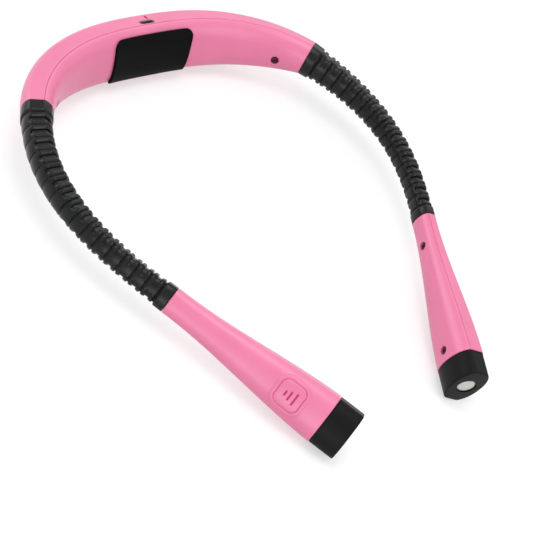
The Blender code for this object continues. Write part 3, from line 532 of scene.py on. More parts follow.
def circle(radius, sides, out=0, up=0):
    turns = [2 * pi * index / sides for index in range(sides)]
    return [(out + radius * cos(turn), up + radius * sin(turn)) for turn in turns]


def turned(side, profile):
    """Closed body turned about a lamp's axis from (run, radius) points, also from the axis."""
    loops = []
    for run, radius in profile:
        loop = circle(radius, LAMP_SIDES) if radius else [(0, 0)]
        loops.append([point_at(side * run, out, up) for out, up in loop])
    return loft(loops, closed=profile[0][1] != 0)


def stacked_rod(places):
    """Closed round body through (centre, radius) pairs on one straight axis."""
    axis = (places[-1][0] - places[0][0]).normalized()
    across = axis.orthogonal().normalized()
    third = axis.cross(across)
    loops = []
    for centre, radius in places:
        loops.append([centre + across * x + third * y for x, y in circle(radius, ROD_SIDES)])
    return loft(loops)


def rounded_rectangle(width, height, corner):
    points = []
    for quarter, (x_sign, y_sign) in enumerate(((1, 1), (-1, 1), (-1, -1), (1, -1))):
        x_centre = x_sign * (width / 2 - corner)
        y_centre = y_sign * (height / 2 - corner)
        for step in range(CORNER_STEPS + 1):
            turn = (quarter + step / CORNER_STEPS) * pi / 2
            points.append((x_centre + corner * cos(turn), y_centre + corner * sin(turn)))
    return points


def rounded_distance(x, y, size, corner):
    """Distance outside a rounded square, below zero inside it."""
    x = abs(x) - size / 2 + corner
    y = abs(y) - size / 2 + corner
    return hypot(max(x, 0), max(y, 0)) + min(max(x, y), 0) - corner


def layered_prism(place, layers):
    """Closed body through rounded rectangles (width, height, corner, level) above a plane."""
    origin, x_axis, y_axis, normal = place
    loops = []
    for width, height, corner, level in layers:
        base = origin + normal * level
        points = rounded_rectangle(width, height, corner)
        loops.append([base + x_axis * x + y_axis * y for x, y in points])
    return loft(loops)


def place_object(name, data):
    item = bpy.data.objects.new(name, data)
    bpy.context.scene.collection.objects.link(item)
    return item


def as_object(name, body, finish=None, sharp_angle=SHARP_ANGLE):
    mesh = bpy.data.meshes.new(name)
    body.to_mesh(mesh)
    body.free()
    mesh.shade_smooth()
    mesh.set_sharp_from_angle(angle=sharp_angle)
    if finish:
        mesh.materials.append(MATERIALS[finish])
    return place_object(name, mesh)


def combine(item, bodies, operation):
    """Apply one Boolean with all the bodies, which stand apart from each other."""
    joined = bmesh.new()
    for body in bodies:
        mesh = bpy.data.meshes.new("shape_tool")
        body.to_mesh(mesh)
        body.free()
        joined.from_mesh(mesh)
        bpy.data.meshes.remove(mesh)
    tool = as_object("shape_tool", joined)
    modifier = item.modifiers.new("shape", "BOOLEAN")
    modifier.operation = operation
    modifier.solver = "EXACT"
    modifier.object = tool
    depsgraph = bpy.context.evaluated_depsgraph_get()
    result = bpy.data.meshes.new_from_object(item.evaluated_get(depsgraph))
    item.modifiers.clear()
    old_mesh = item.data
    item.data = result
    bpy.data.meshes.remove(old_mesh)
    result.name = item.name
    bpy.data.objects.remove(tool, do_unlink=True)


def mirrored(points):
    """Points turned over to below the middle, in reverse order."""
    return [(out, -up) for out, up in reversed(points)]


def outer_half(section, inset_section, edge, steps=SIDE_STEPS, lift=None):
    """C-shaped profile of the shell away from the neck, with the top facet on it."""
    skin = eased_side(side_points(*section, steps))
    if lift:
        places = zip(skin, normals_of(skin, False))
        skin = [(out + x * lift(up), up + y * lift(up)) for (out, up), (x, y) in places]
    lining = side_points(*inset_section)
    corner, top = side_points(*section, 1)[0]
    seam = edge - corner
    lip = [(seam, top - 2 * SEAM_LIP), (seam + SEAM_LIP / 4, top - SEAM_LIP / 2)]
    lip += [(seam + SEAM_LIP, top), (seam + 3 * SEAM_LIP, top)]
    lining_seam = edge - lining[0][0]
    lining = [(lining_seam, lining[0][1]), *lining, (lining_seam, lining[-1][1])]
    return lip + skin + mirrored(lip) + lining[::-1]


def inner_half(section, inset_section, edge):
    """C-shaped profile of the shell on the neck side, up to both seams."""
    skin = [(-out, up) for out, up in side_points(*section)]
    lining = [(-out, up) for out, up in side_points(*inset_section)]
    seam, top = skin[0][0] - edge, skin[0][1]
    lip = [(seam, top - 2 * SEAM_LIP), (seam - SEAM_LIP / 4, top - SEAM_LIP)]
    for index in (0, -1):
        lining[index] = (lining[index][0] - edge, lining[index][1])
    return lip + skin[1:-1] + mirrored(lip) + lining[::-1]


def shell_room(half, run):
    """Short stretch of the room that a shell needs, around a screw's run."""
    reach = SCREW_RECESS_RADIUS + 2 * SCREW_CUP_WALL
    edge = SEAM_GAP / 2 - CLEARANCE

    def profile(place):
        skin = shell_section(place, -CLEARANCE)
        return half(skin, shell_section(place, SHELL_WALL + CLEARANCE), edge)

    return sweep(spread(run - reach, run + reach, ROOM_STEPS), profile)


def screw_line(run):
    """Height of a screw on its section, and the half width of the section there."""
    width, height, squareness = shell_section(run)
    drop_share = HEAD_SCREW_DROP_SHARE if abs(run) > HEAD_START else BAND_SCREW_DROP_SHARE
    half_width = width / 2 * superellipse_height(drop_share, squareness)
    return -drop_share * height / 2, half_width


def screw_rod(run, *pairs):
    """Round body on a screw's axis, from distances inwards of the skin, with their radii."""
    up, half_width = screw_line(run)
    places = [(point_at(run, distance - half_width, up), radius) for distance, radius in pairs]
    return stacked_rod(places)


def trimmed_rod(run, half, start, end, radius):
    """Plain rod on a screw's axis, less the room of the shell that it only reaches."""
    rod = as_object("rod_shape", screw_rod(run, (start, radius), (end, radius)))
    combine(rod, [shell_room(half, run)], "DIFFERENCE")
    body = bmesh.new()
    body.from_mesh(rod.data)
    bpy.data.objects.remove(rod, do_unlink=True)
    return body


def screw_cup(run):
    depth = SCREW_RECESS_DEPTH + SCREW_FLOOR
    return trimmed_rod(run, outer_half, SHELL_WALL / 2, depth, SCREW_RECESS_RADIUS + SCREW_CUP_WALL)


def screw_recess(run):
    """Recess with an eased mouth, and the passage for the screw's shank under it."""
    radius = SCREW_RECESS_RADIUS
    passage = SCREW_SHANK_RADIUS + CLEARANCE
    depth = SCREW_RECESS_DEPTH
    return screw_rod(
        run,
        (-CUT_OVERRUN, radius + MOUTH_FLARE + CUT_OVERRUN),
        (MOUTH_FLARE, radius),
        (depth, radius),
        (depth, passage),
        (depth + SCREW_FLOOR + CUT_OVERRUN, passage),
    )


def screw_post(run):
    start = SCREW_RECESS_DEPTH + SCREW_FLOOR + CLEARANCE
    end = 2 * screw_line(run)[1] - SHELL_WALL / 2
    return trimmed_rod(run, inner_half, start, end, SCREW_POST_RADIUS)


def screw_pilot(run):
    radius = SCREW_SHANK_RADIUS + CLEARANCE
    start = SCREW_RECESS_DEPTH
    end = start + SCREW_SHANK_LENGTH + CLEARANCE
    return screw_rod(run, (start, radius), (end, radius))


def make_screw(name, run, rides_on):
    """Screw with a domed head, and a cross sunk into it."""
    seat = SCREW_RECESS_DEPTH - CLEARANCE
    top = seat - SCREW_HEAD_HEIGHT
    tip = seat + SCREW_SHANK_LENGTH
    head = [(top + depth, SCREW_HEAD_RADIUS * share) for depth, share in SCREW_DOME]
    body = screw_rod(
        run, *head,
        (seat, SCREW_HEAD_RADIUS),
        (seat, SCREW_SHANK_RADIUS),
        (tip - SCREW_SHANK_RADIUS, SCREW_SHANK_RADIUS),
        (tip, SCREW_SHANK_RADIUS * SCREW_TIP_SHARE),
    )
    # The screw's dark magenta is painted shade of its recess.
    screw = as_object(name + "_crossed", body, "screw_recess_shade")
    up, half_width = screw_line(run)
    _, out_axis, ahead, up_axis = section_frame(run)
    along, across = (ahead + up_axis).normalized(), (up_axis - ahead).normalized()
    place = (point_at(run, top - half_width, up), along, across, out_axis)
    size = (SCREW_CROSS_LENGTH, SCREW_CROSS_WIDTH)
    levels = (-CLEARANCE, SCREW_CROSS_DEPTH)
    for slot in (size, size[::-1]):
        layers = [(*slot, SCREW_CROSS_WIDTH / 4, level) for level in levels]
        combine(screw, [layered_prism(place, layers)], "DIFFERENCE")
    finish_piece(screw, "steel", rides_on, name)


def finish_piece(item, slot, rides_on, *nodes):
    item.data.set_sharp_from_angle(angle=SHARP_ANGLE)
    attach(item, rides_on)
    if nodes:
        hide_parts(*nodes)


def bending_pair(name, side, label, slot, rear, front):
    """Two halves that meet on the arm, made in place of the CAD node."""
    node = f"{name}_{label}"
    arm = name + "_arm"
    for half, body, from_body, to_body, middle in (
        ("rear", rear, "neck", arm, BAND_HALF_RUN + ARM_PIVOT_RUN),
        ("front", front, arm, name + "_head", HEAD_START - HEAD_PIVOT_RUN),
    ):
        item = as_object(f"{node}_{half}", body, slot, BENT_SHARP_ANGLE)
        start = point_at(side * (middle - BEND_HALF_RUN), 0, 0)
        end = point_at(side * (middle + BEND_HALF_RUN), 0, 0)
        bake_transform(item)
        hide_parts(node)


def shell_pair(body, runs, steps=SIDE_STEPS, rise=None):
    """Both pink shells of a body, swept along the runs with a seam between them."""
    def outer_profile(run):
        lift = partial(rise, abs(run)) if rise else None
        lining = shell_section(run, SHELL_WALL)
        return outer_half(skin_section(run), lining, SEAM_GAP / 2, steps, lift)

    def inner_profile(run):
        return inner_half(skin_section(run), shell_section(run, SHELL_WALL), SEAM_GAP / 2)

    outer = as_object(body + "_outer_cover", sweep(runs, outer_profile), "pink_plastic")
    return outer, as_object(body + "_inner_cover", sweep(runs, inner_profile), "pink_plastic")


def finish_shells(body, shells, screw_runs, posts, openings):
    """Join posts and screw cups to a pair of shells, and cut their openings and screw holes."""
    pilots, cups, recesses = (
        [make(run) for run in screw_runs] for make in (screw_pilot, screw_cup, screw_recess)
    )
    outer, inner = shells
    combine(outer, posts, "UNION")
    combine(outer, pilots + openings, "DIFFERENCE")
    combine(inner, cups, "UNION")
    combine(inner, recesses, "DIFFERENCE")
    finish_piece(outer, "pink_plastic", body, body + "_outer_shell")
    finish_piece(inner, "pink_plastic", body, body + "_inner_shell")


def facet_place(along, out):
    """Plane on the band's top facet, with its axes along the band, outwards and up."""
    origin, out_axis, ahead, up_axis = section_frame(0)
    _, height, squareness = BAND_MIDDLE
    facet_up = height / 2 * superellipse_height(FACET_SHARE, squareness)
    return origin + ahead * along + out_axis * out + up_axis * facet_up, ahead, out_axis, up_axis


def flared_slot(width, height):
    """Layers of a rounded slot from below a facet to above it, wider at the mouth."""
    layers = []
    for flare, levels in (
        (0, (-CUT_OVERRUN, -MOUTH_FLARE)),
        (MOUTH_FLARE, (SLIVER, CUT_OVERRUN)),
    ):
        wide = width + 2 * flare
        high = height + 2 * flare
        layers += [(wide, high, high / 2 - SLIVER, level) for level in levels]
    return layers


def cradle_rib(run):
    start = BOARD_FACE + BOARD_THICKNESS + CELL_THICKNESS + 2 * CLEARANCE
    end = BAND_MIDDLE[0] / 2 - SHELL_WALL / 2
    origin, out_axis, ahead, up_axis = section_frame(0)
    layers = [(CRADLE_RIB_WIDTH, CELL_HEIGHT, CLEARANCE, level) for level in (start, end)]
    return layered_prism((origin + ahead * run, ahead, up_axis, out_axis), layers)


def make_neck_shells():
    straight = BAND_HALF_RUN - END_ROUNDING
    ends = [BAND_HALF_RUN - step for step in END_STEPS]
    runs = [-run for run in ends] + stepped(-straight, straight, RUN_STEP) + ends[::-1]
    shells = shell_pair("neck", runs)
    screw_runs = [side * BAND_SCREW_RUN for side in SIDES.values()]
    posts = [screw_post(run) for run in screw_runs]
    posts += [cradle_rib(side * CRADLE_RIB_SPACING / 2) for side in SIDES.values()]
    port = layered_prism(facet_place(0, PORT_OUT), flared_slot(PORT_WIDTH, PORT_HEIGHT))
    centre, ahead, out_axis, up_axis = facet_place(INDICATOR_RUN, INDICATOR_OUT)
    slot = flared_slot(INDICATOR_LENGTH, INDICATOR_WIDTH)
    indicator = layered_prism((centre, out_axis, -ahead, up_axis), slot)
    finish_shells("neck", shells, screw_runs, posts, [port, indicator])


def share_angle(share, squareness):
    """Angle from a section's top down to a share of its half height."""
    return atan2(sqrt(1 - share ** squareness), share ** (squareness / 2))


def pad_profile(run):
    """Strip over the inner side, from under the seam round to the lower edge."""
    width, height, squareness = shell_section(run)
    to_end = PAD_HALF_RUN - abs(run)
    into_corner = max(PAD_CORNER_RADIUS - to_end, 0)
    drop = PAD_CORNER_RADIUS - sqrt(max(PAD_CORNER_RADIUS ** 2 - into_corner ** 2, 0))
    start = share_angle(PAD_TOP_SHARE - drop / (height / 2), squareness)
    end = pi - share_angle(PAD_BOTTOM_SHARE, squareness)
    last_shares = [1 - share for share in reversed(PAD_EDGE_SHARES)]
    side_shares = spread(PAD_SIDE_START, 1 - PAD_SIDE_START, PAD_SIDE_STEPS)
    under = []
    over = []
    for share in PAD_EDGE_SHARES + side_shares + last_shares:
        angle = mix(start, end, share)
        to_edge = min(share, 1 - share) * (end - start) * height / 2
        rounded = quarter_round(min(to_end, to_edge) / PAD_ROUNDING)
        thickness = PAD_THICKNESS * mix(PAD_EDGE_THICKNESS_SHARE, 1, rounded)
        for points, lift in ((under, CLEARANCE), (over, CLEARANCE + thickness)):
            out, up = section_point(width + 2 * lift, height + 2 * lift, squareness, angle)
            points.append((-out, up))
    return under + over[::-1]


def make_pad():
    straight = PAD_HALF_RUN - PAD_CORNER_RADIUS
    turns = spread(0, pi / 2, PAD_CORNER_STEPS)[1:]
    corner = [straight + PAD_CORNER_RADIUS * sin(turn) for turn in turns]
    runs = [-run for run in reversed(corner)] + stepped(-straight, straight, RUN_STEP) + corner
    pad = as_object("neck_pad_cover", sweep(runs, pad_profile), "black_pad")
    finish_piece(pad, "black_pad", "neck", "neck_pad")


def groove_depth(distance):
    """Depth of a groove at a distance from its middle."""
    return GROOVE_DEPTH * (1 - smooth(distance / GROOVE_HALF_WIDTH) ** GROOVE_POWER)


def unit_depth(offset, pocketed):
    """Depth of the sleeve's skin at a distance from the groove that starts a unit."""
    to_groove = min(offset, RIB_PITCH - offset)
    to_middle = abs(offset - RIB_PITCH / 2)
    pocket = 1 - smooth((to_middle - POCKET_HALF_WIDTH + POCKET_WALL) / POCKET_WALL)
    half_rib = RIB_PITCH / 2 - POCKET_HALF_WIDTH
    from_crest = mix(to_middle / (RIB_PITCH / 2), abs(2 * to_groove / half_rib - 1), pocketed)
    crown = RIB_CROWN * min(from_crest, 1) ** 2
    return max(groove_depth(to_groove), RIB_INSET + crown, pocketed * POCKET_DEPTH * pocket)


def collar_rings(length):
    """Distances of a collar's rings from its end of the arm, as sleeve_rings gives them."""
    shares = spread(0, 1, COLLAR_STEPS)
    rings = [(TOUCH_GAP + COLLAR_ROUNDING * share, None, (1 - share) ** 2) for share in shares]
    rings += [(length / 2, None, 0), (length - 2 * GROOVE_HALF_WIDTH, None, 0)]
    steps = HALF_UNIT_STEPS[1:COLLAR_UNIT_STEPS]
    return rings + [(length - step, step, 0) for step in reversed(steps)]


def sleeve_rings():
    """Distances of the sleeve's rings from the band, each with a unit offset or a collar inset."""
    half = HALF_UNIT_STEPS
    offsets = [*half, RIB_PITCH / 2] + [RIB_PITCH - step for step in reversed(half[1:])]
    rings = collar_rings(REAR_COLLAR_RUN)
    for unit in range(RIB_UNITS):
        start = REAR_COLLAR_RUN + unit * RIB_PITCH
        rings += [(start + offset, offset, 0) for offset in offsets]
    rings.append((ARM_RUN - FRONT_COLLAR_RUN, 0, 0))
    for distance, offset, inset_share in reversed(collar_rings(FRONT_COLLAR_RUN)):
        rings.append((ARM_RUN - distance, offset, inset_share))
    return rings


def sleeve_outline(section):
    """Sleeve section as a loop with fixed points at the facets' corners."""
    outer = eased_side(side_points(*section, SLEEVE_SIDE_STEPS))
    inner = [(-out, up) for out, up in reversed(outer)]
    low = [(out, outer[-1][1]) for out in spread(outer[-1][0], inner[0][0], SLEEVE_FACET_STEPS)]
    top = [(out, outer[0][1]) for out in spread(inner[-1][0], outer[0][0], SLEEVE_FACET_STEPS)]
    return outer + low[1:-1] + inner + top[1:-1]


def sleeve_loop(side, ring):
    """Grooves run all round. Pockets lie on both facets and the right, and end down the left."""
    distance, offset, inset_share = ring
    run = side * (BAND_HALF_RUN + distance)
    section = sleeve_section(run)
    points = sleeve_outline(section)
    pocket_reach = mix(*POCKET_REACH[side], distance / ARM_RUN)
    to_units = min(distance - REAR_COLLAR_RUN, ARM_RUN - FRONT_COLLAR_RUN - distance)
    loop = []
    for (out, up), (x, y) in zip(points, normals_of(points, True)):
        if offset is None:
            depth = COLLAR_ROUNDING * inset_share
        elif to_units < 0:
            depth = groove_depth(-to_units)
        else:
            reach = side * out + FACET_SHARE * section[0] / 2
            past_corner = -reach if reach > 0 else hypot(reach, points[0][1] - abs(up))
            depth = unit_depth(offset, smooth((pocket_reach - past_corner) / POCKET_END))
        loop.append(point_at(run, out - x * depth, up - y * depth))
    return loop


def sleeve_tube(side, rings):
    """Tube through the outer rings and back along the bore."""
    outer = [sleeve_loop(side, ring) for ring in rings]
    count = len(outer[0])
    top_turn = pi / 2 - pi * SLEEVE_FACET_STEPS / count
    bore = []
    for index in range(count):
        turn = top_turn - 2 * pi * index / count
        bore.append((SLEEVE_BORE_WIDTH / 2 * cos(turn), SLEEVE_BORE_HEIGHT / 2 * sin(turn)))
    start = side * (BAND_HALF_RUN + rings[0][0])
    end = side * (BAND_HALF_RUN + rings[-1][0])
    runs = stepped(end, start, ROD_STEP)
    return loft(outer + [[point_at(run, out, up) for out, up in bore] for run in runs], closed=True)


def make_sleeve(name, side):
    meeting = MEETING_RUN - BAND_HALF_RUN
    rear = [ring for ring in sleeve_rings() if ring[0] < meeting - TOUCH_GAP]
    front = [ring for ring in sleeve_rings() if ring[0] > meeting + TOUCH_GAP]
    rear.append((meeting - TOUCH_GAP, 0, 0))
    front.insert(0, (meeting + TOUCH_GAP, 0, 0))
    tubes = [sleeve_tube(side, rings) for rings in (rear, front)]
    bending_pair(name, side, "arm_sleeve", "black_rubber", *tubes)


def core_profile(run):
    return circle(CORE_RADIUS, CORD_SIDES)


def lead_profile(run):
    """Section of the lead: on the charge board, then above the core."""
    distance = abs(run)
    past_cell = smooth((distance - CELL_LENGTH / 2) / LEAD_EASE_RUN)
    into_head = smooth((distance - HEAD_START - CLAMP_RUN) / LEAD_EASE_RUN * 2)
    out = mix(BOARD_FACE - LEAD_RADIUS - CLEARANCE, 0, past_cell)
    up = mix(LEAD_ARM_UP * past_cell, LEAD_HEAD_UP, into_head)
    return circle(LEAD_RADIUS, CORD_SIDES, out, up)


def make_core_and_lead(name, side):
    core_runs = (BAND_HALF_RUN - CLAMP_RUN, HEAD_START + CLAMP_RUN)
    lead_end = BUTTON_RUN - SWITCH_POST_ALONG - SWITCH_POST_INSET - CLEARANCE
    lead_runs = (CHARGE_BOARD_LENGTH / 2 - LEAD_LAP, lead_end)
    for label, slot, (start, end), profile in (
        ("gooseneck_core", "steel", core_runs, core_profile),
        ("lamp_lead", "lead_sheath", lead_runs, lead_profile),
    ):
        halves = []
        for first, last in ((start, MEETING_RUN - TOUCH_GAP), (MEETING_RUN + TOUCH_GAP, end)):
            runs = [side * run for run in stepped(first, last, ROD_STEP)]
            halves.append(sweep(runs, profile))
        bending_pair(name, side, label, slot, *halves)


def button_frame(side):
    """Centre of the section at the button, along, across and press axes."""
    origin, out_axis, ahead, _ = section_frame(side * BUTTON_RUN)
    return origin, ahead, out_axis.cross(ahead), out_axis


def skin_out(run, up):
    width, height, squareness = shell_section(run)
    share = min(abs(up) / (height / 2), 1)
    return width / 2 * superellipse_height(share, squareness)


def ring_rise(distance, up):
    """Height of the ring round the button over the head's skin."""
    along = distance - BUTTON_RUN
    to_ring = rounded_distance(along, up, BUTTON_RING_SIZE, BUTTON_RING_CORNER_RADIUS)
    to_hole = rounded_distance(along, up, BUTTON_SIZE, BUTTON_CORNER_RADIUS)
    lip = RING_LIP * (1 - smooth(to_hole / RING_LIP)) if to_hole > -RING_LIP else 0
    return BUTTON_RING_RISE * smooth(-to_ring / RING_SLOPE) - lip


def head_ring_runs():
    """Distances of a head's rings, closer together round the button."""
    reach = BUTTON_RING_SIZE / 2 + FINE_RUN_STEP
    start = HEAD_START + CLEARANCE
    runs = [start + step for step in END_STEPS]
    runs += stepped(start + END_ROUNDING, BUTTON_RUN - reach, RUN_STEP)
    runs += stepped(BUTTON_RUN - reach, BUTTON_RUN + reach, FINE_RUN_STEP)[1:]
    runs += stepped(BUTTON_RUN + reach, CAP_START - END_ROUNDING, RUN_STEP / 2)[1:]
    return runs + [CAP_START - step for step in reversed(END_STEPS)]


def switch_levels():
    """Heights over the axis of the stem's end and of the switch board's top."""
    stem_end = skin_out(BUTTON_RUN, 0) - SHELL_WALL - BUTTON_PLATE_THICKNESS
    body_top = stem_end - BUTTON_TRAVEL - CLEARANCE - SWITCH_PLUNGER_HEIGHT
    return stem_end, body_top - SWITCH_HEIGHT - CLEARANCE


def stub(side, along, foot, radius):
    """Round body under the button's skin, from a height over the axis into the wall."""
    origin, ahead, _, normal = button_frame(side)
    centre = origin + ahead * along
    root = skin_out(BUTTON_RUN, 0) - SHELL_WALL / 2
    return stacked_rod([(centre + normal * level, radius) for level in (foot, root)])


def make_head_shells(name, side):
    body = name + "_head"
    runs = [side * run for run in head_ring_runs()]
    shells = shell_pair(body, runs, HEAD_SIDE_STEPS, ring_rise)
    hole = (BUTTON_SIZE, BUTTON_SIZE, BUTTON_CORNER_RADIUS)
    hole_layers = [(*hole, level) for level in (0, CAP[0])]
    combine(shells[0], [layered_prism(button_frame(side), hole_layers)], "DIFFERENCE")
    screw_runs = [side * (HEAD_START + share * HEAD_RUN) for share in HEAD_SCREW_SHARES.values()]
    foot = switch_levels()[1] + CLEARANCE
    places = (-SWITCH_POST_ALONG, SWITCH_POST_ALONG)
    posts = [stub(side, along, foot, SWITCH_POST_RADIUS) for along in places]
    posts += [screw_post(run) for run in screw_runs]
    finish_shells(body, shells, screw_runs, posts, [])


def skin_patch(side, along, size, corner, top, foot, rounding=0):
    """Rounded rectangle on the head's skin, between two heights that follow the skin."""
    origin, ahead, across, normal = button_frame(side)
    length, width = size
    reach = min(length, width) / 2

    def loop(inset, rise):
        rest = max(corner - inset, corner * LEAST_CORNER_SHARE)
        rest = min(rest, (reach - inset) * MOST_CORNER_SHARE)
        placed = []
        for x, y in rounded_rectangle(length - 2 * inset, width - 2 * inset, rest):
            level = skin_out(BUTTON_RUN + along + x, y) + rise
            placed.append(origin + ahead * (along + x) + across * y + normal * level)
        return placed

    insets = [reach * share for share in PATCH_RING_SHARES]
    inner = [inset for inset in insets if inset > rounding]
    loops = [loop(inset, top) for inset in inner]
    for turn in spread(0, pi / 2, BUTTON_ROUNDING_STEPS) if rounding else [pi / 2]:
        loops.append(loop(rounding * (1 - sin(turn)), top - rounding * (1 - cos(turn))))
    return loft(loops + [loop(inset, foot) for inset in [0] + inner[::-1]])


def make_button(name, side):
    """Cap with three bars sunk into its face, and the stem behind it."""
    size = BUTTON_SIZE - 2 * BUTTON_GAP
    corner = BUTTON_CORNER_RADIUS - BUTTON_GAP
    foot = -BUTTON_PLATE_THICKNESS - SHELL_WALL / 2
    body = skin_patch(side, 0, (size, size), corner, BUTTON_RISE, foot, BUTTON_ROUNDING)
    button = as_object(name + "_button_cap", body, "pink_plastic")
    combine(button, [stub(side, 0, switch_levels()[0], BUTTON_STEM_RADIUS)], "UNION")
    bars = list(zip(BAR_PLACES, BAR_LENGTHS))
    bottom = BUTTON_RISE - BAR_SINK - BAR_THICKNESS
    corner = BAR_WIDTH / 3
    pockets = []
    for along, length in bars:
        size = (BAR_WIDTH, length)
        pockets.append(skin_patch(side, along, size, corner, BUTTON_RISE + BAR_WIDTH, bottom))
    combine(button, pockets, "DIFFERENCE")
    finish_piece(button, "pink_plastic", name + "_button", name + "_button")
    # The bars are deep-pink inlays on the slot floors: partly the button's own mark, partly painted
    # shade of the slots.
    for index, (along, length) in enumerate(bars):
        size = (BAR_WIDTH - 2 * TOUCH_GAP, length - 2 * TOUCH_GAP)
        body = skin_patch(side, along, size, corner, bottom + BAR_THICKNESS, bottom + TOUCH_GAP)
        bar = as_object(f"{name}_button_bar_{index + 1}", body, "button_mark")
        finish_piece(bar, "pink_plastic", name + "_button")


def polar_outline(inset):
    """Whole section of the cap, facets too, at even turns about its middle."""
    width, height, squareness = shell_section(CAP_START, inset)
    facet = height / 2 * superellipse_height(FACET_SHARE, squareness)
    points = []
    for x, y in circle(1, CAP_SIDES):
        reach = abs(2 * x / width) ** squareness + abs(2 * y / height) ** squareness
        reach = reach ** (-1 / squareness)
        if abs(y) * reach > facet:
            reach = facet / abs(y)
        points.append((x * reach, y * reach))
    return points


def make_cap(name, side):
    """Bezel through loops from its spigot, over the front edge and back down the bore."""
    start = CAP_START + CLEARANCE
    rear_run = CAP_START - CAP_SPIGOT_RUN
    seat_run = CAP_END - CAP_FACE_THICKNESS
    lip = LENS_APERTURE_RADIUS + CLEARANCE / 2
    spigot = polar_outline(SHELL_WALL + CLEARANCE)
    skin = polar_outline(CAP_INSET)
    loops = [
        (rear_run, spigot),
        (start, spigot),
        (start, polar_outline(CLEARANCE / 2)),
        (start + CLEARANCE / 2, skin),
    ]
    for run in stepped(start + 4 * CLEARANCE, CAP_END - CAP_EDGE_BEVEL, RUN_STEP)[:-1]:
        loops.append((run, skin))
    for turn in spread(0, pi / 2, CAP_EDGE_STEPS):
        inset = CAP_INSET + CAP_EDGE_BEVEL * (1 - cos(turn))
        loops.append((CAP_END - CAP_EDGE_BEVEL * (1 - sin(turn)), polar_outline(inset)))
    for run, radius in (
        (CAP_END, lip + 2 * CLEARANCE),
        (CAP_END, lip),
        (CAP_END - CLEARANCE / 2, LENS_APERTURE_RADIUS),
        (seat_run, LENS_APERTURE_RADIUS),
        (seat_run, CAP_BORE_RADIUS),
        (rear_run, CAP_BORE_RADIUS),
    ):
        loops.append((run, circle(radius, CAP_SIDES)))
    placed = [[point_at(side * run, out, up) for out, up in points] for run, points in loops]
    cap = as_object(name + "_bezel", loft(placed, closed=True), "black_plastic")
    finish_piece(cap, "black_plastic", name + "_head", name + "_bezel_cap")


def dome(foot, radius, rise, steps):
    """(run, radius) points from a dome's foot to its top on the axis."""
    turns = spread(0, pi / 2, steps)[:-1]
    points = [(foot + rise * sin(turn), radius * cos(turn)) for turn in turns]
    return points + [(foot + rise, 0)]


def make_lamp(name, side):
    lens_front = CAP_END - CAP_FACE_THICKNESS - CLEARANCE
    lens_back = lens_front - LENS_THICKNESS
    reflector_front = lens_back - CLEARANCE
    reflector_back = reflector_front - REFLECTOR_RUN
    board_front = reflector_back - CLEARANCE
    board_back = board_front - LED_BOARD_THICKNESS
    rim = CAP_BORE_RADIUS - CLEARANCE
    mouth = rim - REFLECTOR_RIM
    crown_radius = LENS_APERTURE_RADIUS - CLEARANCE
    crown_rise = LENS_CROWN / LENS_CROWN_SHARE
    crown_foot = CAP_END - LENS_INSET - crown_rise
    reflector = [(reflector_front, rim)]
    for share in spread(0, 1, REFLECTOR_STEPS):
        radius = mix(mouth, REFLECTOR_THROAT_RADIUS, share ** REFLECTOR_POWER)
        reflector.append((mix(reflector_front, reflector_back, share), radius))
    reflector.append((reflector_back, rim))
    lens = [(lens_back, 0), (lens_back, LENS_RADIUS), (lens_front, LENS_RADIUS)]
    lens.append((lens_front, crown_radius))
    lens += dome(crown_foot, crown_radius, crown_rise, LENS_CROWN_STEPS)
    board = [(board_back, 0), (board_back, rim), (board_front, rim)]
    board += dome(board_front, LED_DOME_RADIUS, LED_DOME_RADIUS, LED_DOME_STEPS)
    for label, slot, profile in (
        ("lens", "clear_lens", lens),
        ("reflector", "reflector_chrome", reflector),
        ("led_board", "circuit_board", board),
    ):
        item = as_object(f"{name}_{label}_turned", turned(side, profile), slot)
        finish_piece(item, slot, name + "_head", f"{name}_{label}")


def linear(channel):
    """Linear value of a colour channel that is written as on a screen, from 0 to 255."""
    share = channel / 255
    return share / 12.92 if share <= 0.04045 else ((share + 0.055) / 1.055) ** 2.4


def set_inputs(node, **values):
    for label, value in values.items():
        node.inputs[label.replace("_", " ")].default_value = value


def add_node(tree, kind, **values):
    node = tree.nodes.new("ShaderNode" + kind)
    set_inputs(node, **values)
    return node


def plain_material(name, **values):
    material = bpy.data.materials.new(name)
    material.use_nodes = True
    tree = material.node_tree
    shader = tree.nodes["Principled BSDF"]
    set_inputs(shader, **values)
    return material, tree, shader


def make_material(name, colour, roughness, specular=0.5, grain=900, bump=0.05, tint=0.04, **values):
    """Surface with a slight cloud in its colour and gloss, and a fine moulded grain."""
    material, tree, shader = plain_material(name, Specular_IOR_Level=specular, **values)
    place = add_node(tree, "TexCoord")
    cloud = add_node(tree, "TexNoise", Scale=CLOUD_SCALE, Detail=CLOUD_DETAIL)
    fine = add_node(tree, "TexNoise", Scale=grain, Detail=GRAIN_DETAIL)
    ramp = add_node(tree, "ValToRGB")
    for element, stop, factor in zip(ramp.color_ramp.elements, CLOUD_STOPS, (1 - tint, 1 + tint)):
        element.position = stop
        element.color = [min(linear(channel) * factor, 1) for channel in colour] + [1]
    low, high = roughness * (1 - GLOSS_SPREAD), roughness * (1 + GLOSS_SPREAD)
    gloss = add_node(tree, "MapRange", To_Min=low, To_Max=high)
    relief = add_node(tree, "Bump", Strength=bump, Distance=GRAIN_HEIGHT)
    for source, output, target, label in (
        (place, "Object", cloud, "Vector"),
        (place, "Object", fine, "Vector"),
        (cloud, "Fac", ramp, "Fac"),
        (ramp, "Color", shader, "Base Color"),
        (fine, "Fac", gloss, "Value"),
        (gloss, "Result", shader, "Roughness"),
        (fine, "Fac", relief, "Height"),
        (relief, "Normal", shader, "Normal"),
    ):
        tree.links.new(source.outputs[output], target.inputs[label])
    return material


